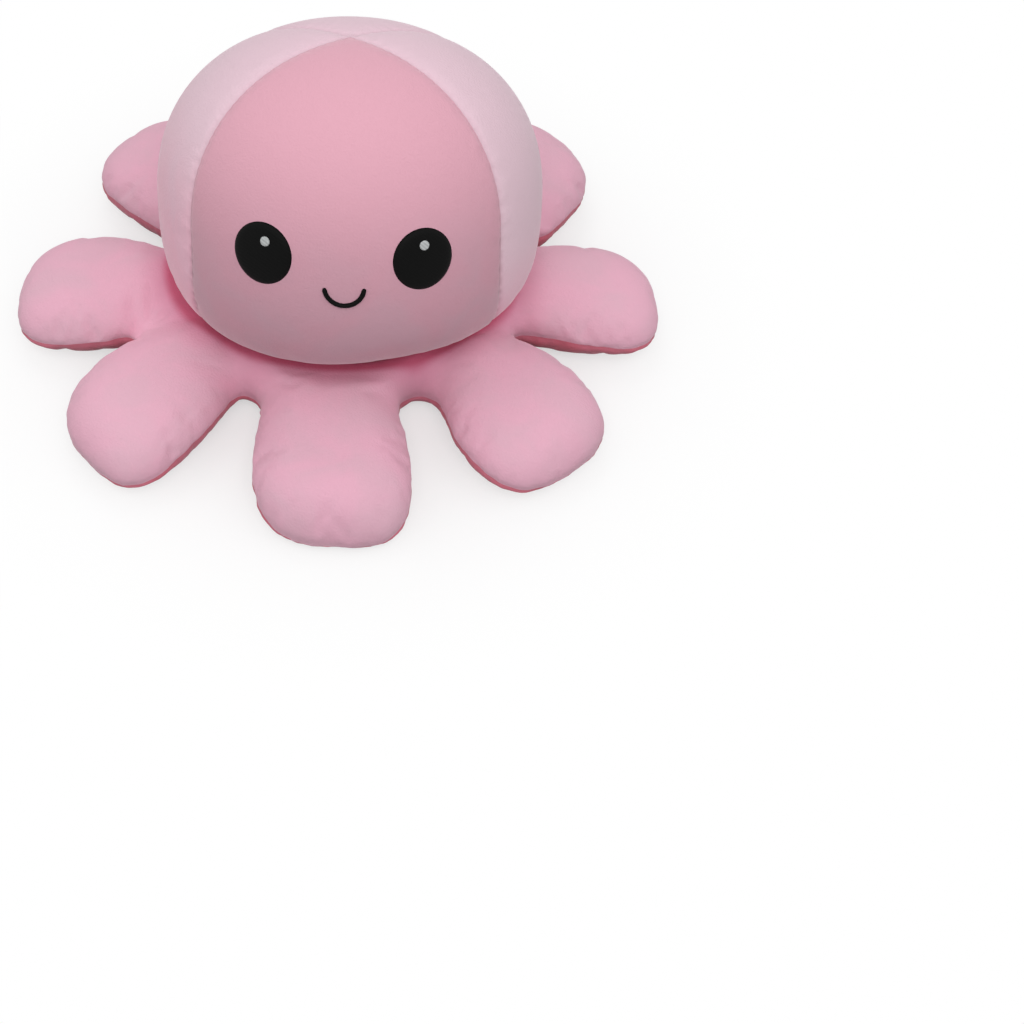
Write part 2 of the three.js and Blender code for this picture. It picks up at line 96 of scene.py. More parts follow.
def mm(length: float) -> float:
    """Gives a length in metres from one in millimetres."""
    return length * MILLIMETRE


def eased(share: float) -> float:
    """Eases a share in and out between 0 and 1."""
    held = min(max(share, 0.0), 1.0)
    return held * held * (3 - 2 * held)


def between(start: float, end: float, share: float) -> float:
    """Gives the value at a share of the way from one value to another."""
    return start + (end - start) * share


def hump(distance: float, reach: float) -> float:
    """Falls smoothly from 1 at no distance to nothing past a reach or two."""
    return math.exp(-((distance / reach) ** 2))


def filled_out(value: float, bend: float) -> float:
    """Raises a sine or cosine to a power and keeps its sign, which makes a circle a little squarer."""
    return math.copysign(abs(value) ** bend, value)


def round_point(azimuth: float, radius: float, height: float) -> Vector:
    """Gives a place by its azimuth, its distance from the upright axis and its height."""
    return Vector((radius * math.sin(azimuth), -radius * math.cos(azimuth), height))


def azimuth_of(point: Vector) -> float:
    """Gives the azimuth at which a place lies."""
    return math.atan2(point.x, -point.y)


def right_and_up(way: Vector) -> tuple[Vector, Vector]:
    """Gives the right and up of a patch that looks along a direction, as someone sees it who faces it."""
    right = Vector((0, 0, 1)).cross(way).normalized()
    return right, way.cross(right)


# Shared mesh work


def mapped_grid(bm: Skin, columns: int, rows: int, place: Place) -> list[Corner]:
    """Adds a grid and lays each of its corners at its place.

    Args:
        bm: The mesh to add to.
        columns: How many faces the grid has across.
        rows: How many faces it has up.
        place: Gives a corner's place from its shares across and up.

    Returns:
        The grid's corners.
    """
    made = bmesh.ops.create_grid(bm, x_segments=columns, y_segments=rows, size=0.5)
    for vert in made["verts"]:
        vert.co = place(vert.co.x + 0.5, vert.co.y + 0.5)
    return made["verts"]


def fill_ends(bm: Skin) -> None:
    """Closes every open end of a mesh."""
    bmesh.ops.holes_fill(bm, edges=[edge for edge in bm.edges if edge.is_boundary], sides=0)


def wrapped_skin(
    columns: int, rows: int, place: Place, joined: float = mm(0.02), filled: bool = False
) -> Skin:
    """Makes a skin of one grid that is wrapped round until its sides meet, and turns its faces outwards.

    Args:
        columns: How many faces the grid has round.
        rows: How many faces it has up.
        place: Gives a corner's place from its shares round and up.
        joined: How close together corners are joined.
        filled: Whether open ends are closed.

    Returns:
        The skin.
    """
    bm = bmesh.new()
    mapped_grid(bm, columns, rows, place)
    bmesh.ops.remove_doubles(bm, verts=bm.verts[:], dist=joined)
    if filled:
        fill_ends(bm)
    bmesh.ops.recalc_face_normals(bm, faces=bm.faces[:])
    return bm


def object_of(name: str, bm: Skin) -> Piece:
    """Makes a smooth-shaded object of a mesh.

    Args:
        name: The object's name.
        bm: The mesh, which is freed.

    Returns:
        The new object, at the origin.
    """
    mesh = bpy.data.meshes.new(name)
    bm.to_mesh(mesh)
    bm.free()
    mesh.shade_smooth()
    obj = bpy.data.objects.new(name, mesh)
    bpy.context.scene.collection.objects.link(obj)
    return obj


def with_modifiers(obj: Piece) -> Skin:
    """Gives an object's mesh with its modifiers applied.

    Args:
        obj: The object, which is removed.

    Returns:
        A new editable mesh.
    """
    bm = bmesh.new()
    bm.from_object(obj, bpy.context.evaluated_depsgraph_get())
    bpy.data.objects.remove(obj)
    return bm


def smoothed_twice_as_fine(bm: Skin, name: str) -> Skin:
    """Subdivides a mesh once, with its creased edges kept.

    Args:
        bm: The mesh, which is freed.
        name: A name for the work object.

    Returns:
        The finer mesh.
    """
    obj = object_of(name, bm)
    finer = obj.modifiers.new("finer", "SUBSURF")
    finer.levels = finer.render_levels = 1
    return with_modifiers(obj)


def piece_of(master: Skin, name: str, keep: Callable[[bmesh.types.BMFace], bool]) -> Piece:
    """Cuts a piece out of a larger skin and keeps the larger skin's shading at the cuts.

    Args:
        master: The whole skin, with up-to-date normals.
        name: The piece's name.
        keep: Says whether a face belongs to the piece.

    Returns:
        The piece, smooth-shaded.
    """
    part = master.copy()
    layer = part.verts.layers.float_vector.new("shading")
    for vert in part.verts:
        vert[layer] = vert.normal
    others = [copied for face, copied in zip(master.faces, part.faces) if not keep(face)]
    bmesh.ops.delete(part, geom=others, context="FACES")
    obj = object_of(name, part)
    shading = obj.data.attributes["shading"]
    normals = [tuple(entry.vector) for entry in shading.data]
    obj.data.attributes.remove(shading)
    obj.data.normals_split_custom_set_from_vertices(normals)
    return obj


def dress(obj: Piece, finish: Finish, *nodes: str) -> None:
    """Gives a piece its material, hides the solids that it stands for, and reports it.

    Args:
        obj: The piece.
        finish: Its material, and the record's slot for it.
        nodes: The solids that it replaces.
    """
    material, slot = finish
    obj.data.materials.append(material)
    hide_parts(*nodes)
    LOG.info("%s: %d faces", obj.name, len(obj.data.polygons))


# Finishes


def wire(tree: Nodes, node: bpy.types.Node, inputs: dict[str | int, object]) -> bpy.types.Node:
    """Sets a node's inputs, or links them to other nodes.

    Args:
        tree: The nodes that it is one of.
        node: The node.
        inputs: A value, or another node's output, for each input by its name or number.

    Returns:
        The same node.
    """
    for key, value in inputs.items():
        if isinstance(value, Socket):
            tree.links.new(value, node.inputs[key])
        else:
            node.inputs[key].default_value = value
    return node


def added(tree: Nodes, kind: str, inputs: dict[str | int, object], **options: str) -> bpy.types.Node:
    """Adds a node.

    Args:
        tree: The nodes to add to.
        kind: The node's kind.
        inputs: A value, or another node's output, for each input by its name or number.
        options: The node's own settings.

    Returns:
        The node.
    """
    node = tree.nodes.new("ShaderNode" + kind)
    for option, choice in options.items():
        setattr(node, option, choice)
    return wire(tree, node, inputs)


def started_material(name: str) -> tuple[Material, Nodes, Socket]:
    """Starts a material.

    Args:
        name: Its name.

    Returns:
        The material, its nodes, and the output that gives the place on a piece.
    """
    material = bpy.data.materials.new(name)
    material.use_nodes = True
    tree = material.node_tree
    return material, tree, added(tree, "TexCoord", {}).outputs["Object"]


def clouds(tree: Nodes, place: Socket, scale: float, detail: float, swirl: float) -> Socket:
    """Adds cloudy noise.

    Args:
        tree: The nodes to add to.
        place: Where the noise is read.
        scale: How many clouds a metre has.
        detail: How many finer layers it has.
        swirl: How much it is distorted.

    Returns:
        The noise's output.
    """
    inputs = {"Vector": place, "Scale": scale, "Detail": detail, "Distortion": swirl}
    return added(tree, "TexNoise", inputs).outputs["Fac"]


def smooth_step(tree: Nodes, value: Socket, start: float, end: float, least: float = 0.0) -> Socket:
    """Adds a smooth step up to one.

    Args:
        tree: The nodes to add to.
        value: The value that is stepped.
        start: Where the step starts.
        end: Where it ends.
        least: What it gives before its start.

    Returns:
        The step's output.
    """
    inputs = {"Value": value, "From Min": start, "From Max": end, "To Min": least}
    return added(tree, "MapRange", inputs, interpolation_type="SMOOTHSTEP").outputs["Result"]


def blended_colours(tree: Nodes, factor: Socket, first: Shade, second: Shade) -> Socket:
    """Adds a mix of two colours.

    Args:
        tree: The nodes to add to.
        factor: How much of the second colour shows.
        first: A colour, or an output that gives one.
        second: A colour, or an output that gives one.

    Returns:
        The mixed colour's output.
    """
    shades = [shade if isinstance(shade, Socket) else (*shade, 1.0) for shade in (first, second)]
    return added(tree, "Mix", {"Factor": factor, 6: shades[0], 7: shades[1]}, data_type="RGBA").outputs[2]


def relief(tree: Nodes, height: Socket, strength: float, depth: float, **under: Socket) -> Socket:
    """Adds relief.

    Args:
        tree: The nodes to add to.
        height: The height's output.
        strength: How strong the relief is.
        depth: How deep it is, in metres.
        under: A coarser relief under it, as the Normal.

    Returns:
        The relief's output.
    """
    inputs = {"Strength": strength, "Distance": depth, "Height": height, **under}
    return added(tree, "Bump", inputs).outputs["Normal"]


@dataclass(frozen=True)
class PlushFinish:
    """Short velvety pile: soft patches of nap, a side made paler as painted sheen where the nap lies away,
    and a neck made deeper as painted shade.
    """

    name: str
    colour: Triple
    brushed: Triple
    pale: Triple | None = None
    painted_light_slope: Triple = (8.0, 0.0, 28.0)
    painted_light_start: float = 1.19
    painted_neck_shade: Triple | None = None
    painted_crease_shadow: Triple = (0.60, 0.13, 0.22)
    neck_shade_shape: Triple = (0.78, 1.0, 0.0)
    neck_shade_reach: tuple[float, float] = (mm(51.5), mm(38))
    crease_shadow_reach: tuple[float, float] = (mm(44.3), mm(41.5))
    stitched: float = 0.0
    roughness: float = 0.95
    specular: float = 0.15
    sheen: float = 0.3
    sheen_roughness: float = 0.4
    sheen_tint: Triple = (1.0, 0.93, 0.95)
    patch_clouds: Triple = (60.0, 4.0, 0.6)
    patch_edge: tuple[float, float] = (0.34, 0.72)
    clump_clouds: Triple = (260.0, 2.0, 0.0)
    clump_relief: tuple[float, float] = (0.35, mm(0.35))
    pile_clouds: Triple = (1500.0, 1.0, 0.0)
    pile_relief: tuple[float, float] = (0.5, mm(0.22))

    def material(self) -> Material:
        """Builds the cloth's material."""
        material, tree, place = started_material(self.name)
        patches = smooth_step(tree, clouds(tree, place, *self.patch_clouds), *self.patch_edge)
        shade = blended_colours(tree, patches, self.colour, self.brushed)
        # Painted sheen and highlight: the colour is made paler along a slope, towards the top and the side
        # where light falls.
        if self.pale:
            towards = added(tree, "VectorMath", {0: place, 1: self.painted_light_slope}, operation="DOT_PRODUCT")
            lifted = smooth_step(tree, towards.outputs["Value"], self.painted_light_start, self.painted_light_start + 1)
            shade = blended_colours(tree, lifted, shade, self.pale)
        # Painted shade: darker, deeper pink towards the neck, and darkest in a narrow band at the crease
        # under the head.
        if self.painted_neck_shade:
            flat = added(tree, "VectorMath", {0: place, 1: self.neck_shade_shape}, operation="MULTIPLY")
            out = added(tree, "VectorMath", {0: flat.outputs["Vector"]}, operation="LENGTH").outputs["Value"]
            for reach, tint in ((self.neck_shade_reach, self.painted_neck_shade), (self.crease_shadow_reach, self.painted_crease_shadow)):
                shade = blended_colours(tree, smooth_step(tree, out, *reach), shade, tint)
        if self.stitched:
            stitches = added(tree, "Attribute", {}, attribute_name="stitch").outputs["Fac"]
            sunk = tuple(self.stitched * part for part in self.colour)
            shade = blended_colours(tree, stitches, shade, sunk)
        clumps = relief(tree, clouds(tree, place, *self.clump_clouds), *self.clump_relief)
        pile = relief(tree, clouds(tree, place, *self.pile_clouds), *self.pile_relief, Normal=clumps)
        wire(tree, tree.nodes["Principled BSDF"], {
            "Base Color": shade,
            "Normal": pile,
            "Roughness": self.roughness,
            "Specular IOR Level": self.specular,
            "Sheen Weight": self.sheen,
            "Sheen Roughness": self.sheen_roughness,
            "Sheen Tint": (*self.sheen_tint, 1.0),
        })
        return material


@dataclass(frozen=True)
class ThreadFinish:
    """Satin stitch: fine threads that lie side by side across the shape, with painted shade in the grooves
    between them.
    """

    name: str
    colour: Triple
    roughness: float = 0.6
    specular: float = 0.08
    thread_scale: float = 420.0
    thread_waver: float = 1.5
    thread_relief: tuple[float, float] = (0.5, mm(0.05))
    painted_groove_shade: float = 0.75

    def material(self) -> Material:
        """Builds the thread's material."""
        material, tree, place = started_material(self.name)
        inputs = {"Vector": place, "Scale": self.thread_scale, "Distortion": self.thread_waver}
        threads = added(tree, "TexWave", inputs, bands_direction="DIAGONAL").outputs["Fac"]
        # Painted shade: the grooves between the threads are a darker copy of the thread's colour.
        shaded_grooves = tuple(self.painted_groove_shade * part for part in self.colour)
        wire(tree, tree.nodes["Principled BSDF"], {
            "Base Color": blended_colours(tree, threads, shaded_grooves, self.colour),
            "Normal": relief(tree, threads, *self.thread_relief),
            "Roughness": self.roughness,
            "Specular IOR Level": self.specular,
        })
        return material


# Inflation


@dataclass(frozen=True)
class Inflation:
    """How the stuffed skins are blown up as cloth, at a size at which the cloth solver is steady."""

    frames: int = 20
    quality: int = 6
    mass: float = 0.15
    air_damping: float = 2.0
    pressure: float = 4.0
    slack_share: float = 0.015
    stiffness: float = 15.0
    shear_stiffness: float = 5.0
    bending: float = 0.5
    work_scale: float = 10.0

    def blown_up(self, bm: Skin, name: str, is_held: Callable[[Corner], bool], most: float) -> Skin:
        """Args:
            bm: The skin, which is freed.
            name: A name for the work object.
            is_held: Says whether the sewing keeps a corner in place.
            most: How far a corner may move, in metres.

        Returns:
            The skin that is to be used from here on.
        """
        held = [number for number, vert in enumerate(bm.verts) if is_held(vert)]
        obj = object_of(name, bm)
        obj.data.transform(Matrix.Scale(self.work_scale, 4))
        obj.vertex_groups.new(name="sewn").add(held, 1.0, "REPLACE")
        cloth = obj.modifiers.new("blown_up", "CLOTH")
        cloth.point_cache.frame_end = self.frames
        settings = cloth.settings
        settings.quality = self.quality
        settings.mass = self.mass
        settings.air_damping = self.air_damping
        settings.tension_stiffness = self.stiffness
        settings.compression_stiffness = self.stiffness
        settings.shear_stiffness = self.shear_stiffness
        settings.bending_stiffness = self.bending
        settings.use_pressure = True
        settings.uniform_pressure_force = self.pressure
        settings.shrink_min = -self.slack_share
        settings.vertex_group_mass = "sewn"
        settings.effector_weights.gravity = 0.0
        for step in range(1, self.frames + 1):
            bpy.context.scene.frame_set(step)
        rest = [vert.co / self.work_scale for vert in obj.data.vertices]
        swollen = with_modifiers(obj)
        for vert, before in zip(swollen.verts, rest):
            moved = vert.co / self.work_scale - before
            vert.co = before + moved * min(1.0, most / max(moved.length, 1e-9))
        return swollen


# The stuffed ring and its arms


@dataclass(frozen=True)
class Habit:
    """How one arm differs from a straight, even one. Lengths in millimetres, the sway in degrees."""

    shift: float = 0.0
    sway: float = 0.0
    root_wider: float = 0.0
    wider: float = 0.0
    longer: float = 0.0
    slant: float = 0.0
    tip_sag: float = 0.2


@dataclass(frozen=True)
class Notch:
    """Where the skirt ends between two arms.

    It has an azimuth, a depth by which it is cut in, a share by which its seam runs lower, and a length
    past it over which the arms on both sides stay sewn together.
    """

    azimuth: float
    bite: float = 0.0
    sag: float = 0.2
    joined: float = 0.0

    @property
    def outward(self) -> Vector:
        """The level direction to the notch."""
        return round_point(self.azimuth, 1.0, 0.0)


@dataclass(frozen=True)
class Arm:
    """One arm, by the way it points and how it strays."""

    name: str
    outward: Vector
    habit: Habit
    notches: tuple[Notch, Notch]
    clearance: float = mm(1.0)
    clear_from: float = mm(53.5)
    clear_reach: float = mm(3)

    @property
    def sideways(self) -> Vector:
        """The level direction across the arm, to its left seen from the tip."""
        return Vector((-self.outward.y, self.outward.x, 0.0))

    def out(self, point: Vector) -> float:
        """How far out a point is along the arm."""
        return point.dot(self.outward)

    def middle(self, out: float) -> float:
        """How far the arm's middle is to the side at a distance from its hinge."""
        return mm(self.habit.shift) + math.tan(math.radians(self.habit.sway)) * max(out, 0.0)

    def room(self, point: Vector) -> Vector:
        """Gives how far a point has to move to stay clear of the arms on both sides.

        Args:
            point: The point.

        Returns:
            The move, nothing where the point is clear or inside the skirt.
        """
        needed = self.clearance * eased((point.xy.length - self.clear_from) / self.clear_reach)
        move = Vector()
        if needed:
            for notch, side in zip(self.notches, (1, -1)):
                inward = Vector((-notch.outward.y, notch.outward.x, 0.0)) * side
                move += inward * max(needed - point.dot(inward), 0.0)
        return move


@dataclass
class Limbs:
    """The skirt and the arms: one stuffed skin, light above its seam and dark below it."""

    hinge_radius: float
    top: float
    head_centre: Vector
    habits: dict[str, Habit]
    notches: tuple[Notch, ...]
    seam_height: float = mm(10.4)
    seam_slack: float = mm(0.02)
    seam_snap: float = 0.35
    neck_radius: float = mm(39.8)
    seat_edge: float = mm(3)
    mouth_radius: float = mm(27)
    socket_radius: float = mm(51.8)
    socket_steps: int = 8
    ring_shoulder: float = mm(45)
    ring_fullness: float = 3.2
    ring_steps: int = 12
    ring_sides: int = 128
    notch_radius: float = mm(52.3)
    notch_spread: float = mm(9)
    notch_sag_inset: float = mm(1)
    bite_spread: float = math.radians(11)
    root_width: float = mm(37.5)
    root_end: float = mm(61)
    arm_inside: float = mm(-14)
    arm_width: float = mm(45)
    arm_length: float = mm(49)
    arm_sides: int = 48
    arm_rings: int = 40
    round_end: float = mm(24)
    fullness: float = 2.4
    under_fullness: float = 2.8
    tuck_fullness: float = 1.6
    end_fullness: float = 2.7
    tip_droop: float = mm(2)
    tip_sag_start: float = mm(24)
    tip_sag_reach: float = mm(22)
    voxel: float = mm(1.5)
    smoothings: int = 3
    notch_smoothings: int = 8
    bend_start: float = mm(53.5)
    bend_length: float = mm(13)
    cut_reach: float = mm(4)
    groove_depth: float = mm(0.5)
    groove_reach: float = mm(1.3)
    pucker_height: float = mm(0.35)
    pucker_reach: float = mm(5)
    pucker_fineness: Triple = (230.0, 230.0, 30.0)
    swell_limit: float = mm(1.6)

    def __post_init__(self) -> None:
        """Reads the arms from the model's joints."""
        self.arms: list[Arm] = []
        for joint in frame["joints"]:
            if joint["name"].endswith("_lift"):
                x, y, _ = joint["pos_m"]
                order = list(self.habits).index(joint["child"])
                notches = (self.notches[order - 1], self.notches[order])
                outward = Vector((x, y, 0.0)).normalized()
                self.arms.append(Arm(joint["child"], outward, self.habits[joint["child"]], notches))

    def half_width(self, arm: Arm, out: float) -> float:
        """Gives half of an arm's width.

        Args:
            arm: The arm.
            out: The distance from its hinge.

        Returns:
            Half of its width there.
        """
        body = self.arm_length - self.round_end
        root = self.root_width + mm(arm.habit.root_wider)
        full = self.arm_width + mm(arm.habit.wider)
        share = math.sin(min(max(out, 0.0) / body, 1.0) * math.pi / 2)
        return between(root, full, share) / 2 * self.end_share(out, self.end_fullness)

    def end_share(self, out: float, fullness: float) -> float:
        """How much of its full section an arm has at a distance, where 2 is the fullness of a round end."""
        past = max(out - (self.arm_length - self.round_end), 0.0) / self.round_end
        return max(1 - past ** fullness, 0.0) ** (1 / fullness)

    def arm_point(self, arm: Arm, around: float, along: float) -> Vector:
        """Gives a place on an arm's rough stuffed form.

        Args:
            arm: The arm.
            around: The share of the way round the arm, from one edge over its top to the other and back.
            along: The share of the way from its root inside the skirt to its tip.

        Returns:
            The place.
        """
        out = between(self.arm_inside, self.arm_length, math.sin(along * math.pi / 2))
        turn = around * FULL_TURN
        above = math.sin(turn) > 0
        bend = 2 / (self.fullness if above else self.under_fullness)
        across = filled_out(math.cos(turn), bend) * self.half_width(arm, out)
        end = self.end_share(out, self.end_fullness if above else self.tuck_fullness)
        rise = filled_out(math.sin(turn), bend) * end
        height = self.seam_height + rise * (self.top - self.seam_height if above else self.seam_height)
        stretch = eased(out / self.arm_length)
        reach = self.hinge_radius + out + (mm(arm.habit.longer) + arm.habit.slant * across) * stretch
        level = arm.outward * reach + arm.sideways * (arm.middle(out) + across)
        level += arm.room(level)
        return Vector((level.x, level.y, height))

    def ring_outline(self) -> list[Corner]:
        """Lists the places round the ring's section, from its mouth up the seat, over it and back below."""
        low = math.acos(self.mouth_radius / self.socket_radius)
        high = math.acos(self.neck_radius / self.socket_radius)
        outline: list[Triple] = []
        for step in range(self.socket_steps):
            angle = between(low, high, step / self.socket_steps)
            height = self.head_centre.z - self.socket_radius * math.sin(angle)
            outline.append((self.socket_radius * math.cos(angle), 0.0, height))
        outline.append((self.neck_radius, 0.0, self.top))
        edge = self.notch_radius - self.ring_shoulder
        for step in range(self.ring_steps + 1):
            turn = math.pi / 2 - step / self.ring_steps * math.pi
            bend = 2 / (self.ring_fullness if math.sin(turn) > 0 else self.tuck_fullness)
            rise = filled_out(math.sin(turn), bend)
            tall = self.top - self.seam_height if rise > 0 else self.seam_height
            radius = self.ring_shoulder + edge * filled_out(math.cos(turn), bend)
            outline.append((radius, 0.0, self.seam_height + rise * tall))
        return [*outline, (self.mouth_radius, 0.0, 0.0)]

    def add_ring(self, bm: Skin) -> None:
        """Adds the rough stuffed ring, with its inner wall round the ball under the head.

        Args:
            bm: The mesh to add to.
        """
        verts = [bm.verts.new(place) for place in self.ring_outline()]
        edges = [bm.edges.new(pair) for pair in zip(verts, verts[1:] + verts[:1])]
        bmesh.ops.spin(
            bm, geom=verts + edges, axis=(0, 0, 1), cent=(0, 0, 0), angle=FULL_TURN, steps=self.ring_sides,
            use_merge=True,
        )
        for vert in bm.verts:
            level = vert.co.xy.to_3d()
            share = eased((level.length - self.neck_radius) / (self.notch_radius - self.neck_radius))
            for notch in self.notches:
                bite = notch.bite * hump(level.angle(notch.outward), self.bite_spread)
                vert.co -= level.normalized() * bite * share

    def rough(self) -> Skin:
        """Joins the ring and the arms into one even skin."""
        joined = bmesh.new()
        self.add_ring(joined)
        for arm in self.arms:
            verts = mapped_grid(
                joined, self.arm_sides, self.arm_rings,
                lambda around, along: self.arm_point(arm, around, along),
            )
            bmesh.ops.remove_doubles(joined, verts=verts, dist=JOINED)
            fill_ends(joined)
        bmesh.ops.recalc_face_normals(joined, faces=joined.faces[:])
        obj = object_of("limbs_rough", joined)
        remesh = obj.modifiers.new("even", "REMESH")
        remesh.mode = "VOXEL"
        remesh.voxel_size = self.voxel
        bm = with_modifiers(obj)
        round_notches = [v for v in bm.verts if self.ring_shoulder < v.co.xy.length < self.root_end]
        for verts in [bm.verts[:]] * self.smoothings + [round_notches] * self.notch_smoothings:
            bmesh.ops.smooth_vert(
                bm, verts=verts, factor=0.5, use_axis_x=True, use_axis_y=True, use_axis_z=True
            )
        return bm

    def is_outer(self, vert: Corner) -> bool:
        """Says whether a corner is on the outside of the skin, away from the ball's seat."""
        return vert.co.xy.length > self.neck_radius + self.seat_edge

    def on_seam(self, vert: Corner) -> bool:
        """Says whether a corner is on the sewn edge."""
        return self.is_outer(vert) and abs(vert.co.z - self.seam_height) < self.seam_slack

    def is_held(self, vert: Corner) -> bool:
        """Says whether a corner stays in place: on the seam, or where the head sits."""
        return self.on_seam(vert) or vert.co.xy.length < self.ring_shoulder

    def cut_seam(self, bm: Skin) -> None:
        """Lays a line of edges along the seam, and creases it.

        Args:
            bm: The skin.
        """
        for vert in bm.verts:
            if self.is_outer(vert) and abs(vert.co.z - self.seam_height) < self.voxel * self.seam_snap:
                vert.co.z = self.seam_height
        bmesh.ops.bisect_plane(
            bm, geom=bm.verts[:] + bm.edges[:] + bm.faces[:], dist=JOINED,
            plane_co=(0, 0, self.seam_height), plane_no=(0, 0, 1),
        )
        crease = bm.edges.layers.float.new("crease_edge")
        for edge in bm.edges:
            if all(self.on_seam(vert) for vert in edge.verts):
                edge[crease] = 1.0

    def draw_in(self, bm: Skin) -> None:
        """Draws the cloth in along the seam, with small puckers across it, and flattens the base.

        Args:
            bm: The skin.
        """
        bm.normal_update()
        for vert in filter(self.is_outer, bm.verts):
            near = vert.co.z - self.seam_height
            side = 1 - abs(vert.normal.z)
            groove = self.groove_depth * hump(near, self.groove_reach) * side
            ripple = noise.noise(vert.co * Vector(self.pucker_fineness))
            pucker = self.pucker_height * ripple * hump(near, self.pucker_reach) * min(side * 2, 1.0)
            vert.co += vert.normal * (pucker - groove)
            vert.co.z = max(vert.co.z, 0.0)

    def nearest(self, point: Vector) -> int:
        """Finds the arm between whose notches a point is.

        Args:
            point: The point.

        Returns:
            The arm's number.
        """
        azimuth = azimuth_of(point)
        for number, arm in enumerate(self.arms):
            first, last = (notch.azimuth for notch in arm.notches)
            if (azimuth - first) % FULL_TURN < (last - first) % FULL_TURN:
                return number
        return 0

    def fold(self, arm: Arm) -> tuple[Vector, Vector]:
        """Gives the line across an arm where its bend starts, past where a neighbour stays sewn to it.

        Args:
            arm: The arm.

        Returns:
            The line's first end, and the level direction in which the bend goes on.
        """
        ends: list[Vector] = []
        for notch in arm.notches:
            square = self.bend_start / notch.outward.dot(arm.outward)
            ends.append(notch.outward * (self.notch_radius + notch.joined if notch.joined else square))
        along = ends[1] - ends[0]
        return ends[0], Vector((along.y, -along.x, 0.0)).normalized()

    def cut_arms(self, bm: Skin) -> None:
        """Cuts the skin across each arm where its bend starts, and numbers every face.

        Args:
            bm: The skin. Its faces get an arm number, 0 for the skirt, and a cloth number.
        """
        folds = [self.fold(arm) for arm in self.arms]
        for number, (start, way) in enumerate(folds):
            faces = [f for f in bm.faces if self.nearest(f.calc_center_median()) == number]
            near = {f for f in faces if abs((f.calc_center_median() - start).dot(way)) < self.cut_reach}
            edges = {e for f in near for e in f.edges}
            verts = {v for f in near for v in f.verts}
            bmesh.ops.bisect_plane(
                bm, geom=[*verts, *edges, *near], dist=JOINED, plane_co=start, plane_no=way
            )
        arm_layer = bm.faces.layers.int.new("arm")
        cloth_layer = bm.faces.layers.int.new("cloth")
        for face in bm.faces:
            centre = face.calc_center_median()
            number = self.nearest(centre)
            start, way = folds[number]
            face[arm_layer] = number + 1 if (centre - start).dot(way) > 0 else 0
            face[cloth_layer] = (Cloth.TOP if centre.z > self.seam_height else Cloth.UNDERSIDE).value

    def sag(self, arm: Arm, point: Vector) -> float:
        """Gives how much lower the seam lies, at the notches and the tips.

        Args:
            arm: The arm that the point belongs to.
            point: The point.

        Returns:
            The share of its height by which the seam is lower.
        """
        past = arm.out(point) - self.hinge_radius - self.tip_sag_start
        lower = arm.habit.tip_sag * eased(past / self.tip_sag_reach)
        for notch in arm.notches:
            bottom = notch.outward * (self.notch_radius - notch.bite + self.notch_sag_inset)
            lower = max(lower, notch.sag * hump((point.xy.to_3d() - bottom).length, self.notch_spread))
        return lower

    def droop(self, bm: Skin) -> None:
        """Lets the arms hang a little towards their tips, while their undersides stay on the table.

        Args:
            bm: The skin.
        """
        for vert in filter(self.is_outer, bm.verts):
            arm = self.arms[self.nearest(vert.co)]
            seam = self.seam_height * (1 - self.sag(arm, vert.co))
            if vert.co.z < self.seam_height:
                vert.co.z *= seam / self.seam_height
            else:
                above = (vert.co.z - self.seam_height) / (self.top - self.seam_height)
                vert.co.z = seam + above * (self.top - seam)
            out = arm.out(vert.co) - self.hinge_radius
            if out > 0:
                vert.co.z -= self.tip_droop * (out / self.arm_length) ** 2 * min(vert.co.z / seam, 1.0)

    def build(self, inflation: Inflation, finishes: dict[Cloth, Finish]) -> None:
        """Makes the skin and cuts it into the skirt's and the arms' pieces.

        Args:
            inflation: How the skin is blown up.
            finishes: The material and slot of each cloth.
        """
        bm = self.rough()
        self.cut_seam(bm)
        bm = inflation.blown_up(bm, "limbs_skin", self.is_held, self.swell_limit)
        bm = smoothed_twice_as_fine(bm, "limbs_finer")
        self.draw_in(bm)
        self.cut_arms(bm)
        self.droop(bm)
        bm.normal_update()
        arm_layer, cloth_layer = bm.faces.layers.int["arm"], bm.faces.layers.int["cloth"]
        for number, owner in enumerate(["skirt", *(arm.name for arm in self.arms)]):
            for cloth in Cloth:
                solid = f"{owner}_{cloth.name.lower()}"
                piece = piece_of(
                    bm, f"{solid}_cloth",
                    lambda face: face[arm_layer] == number and face[cloth_layer] == cloth.value,
                )
                dress(piece, finishes[cloth], solid, *([f"{owner}_stuffing"] if cloth is Cloth.TOP else []))
                if number:
                    start, way = self.fold(self.arms[number - 1])
                    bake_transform(piece)
                else:
                    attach(piece, "skirt")
        bm.free()


# The head and the pocket under it


@dataclass(frozen=True)
class Seams:
    """The four seams of a head, as far to the left as to the right but for a turn of them all."""

    front: float = math.radians(52)
    turn: float = 0.0

    @property
    def azimuths(self) -> list[float]:
        """The azimuths of the seams, from the front's left one round to itself."""
        even = [-self.front, self.front, math.pi - self.front, math.pi + self.front, FULL_TURN - self.front]
        return [azimuth + self.turn for azimuth in even]

    def gap(self, azimuth: float) -> float:
        """Gives the angle from an azimuth to the nearest seam."""
        return min(abs(math.remainder(azimuth - seam, FULL_TURN)) for seam in self.azimuths[:4])

    def panel(self, azimuth: float) -> Panel:
        """Says which panel is at an azimuth."""
        ends = zip(Panel, self.azimuths, self.azimuths[1:])
        return next(panel for panel, first, last in ends if (azimuth - first) % FULL_TURN < last - first)


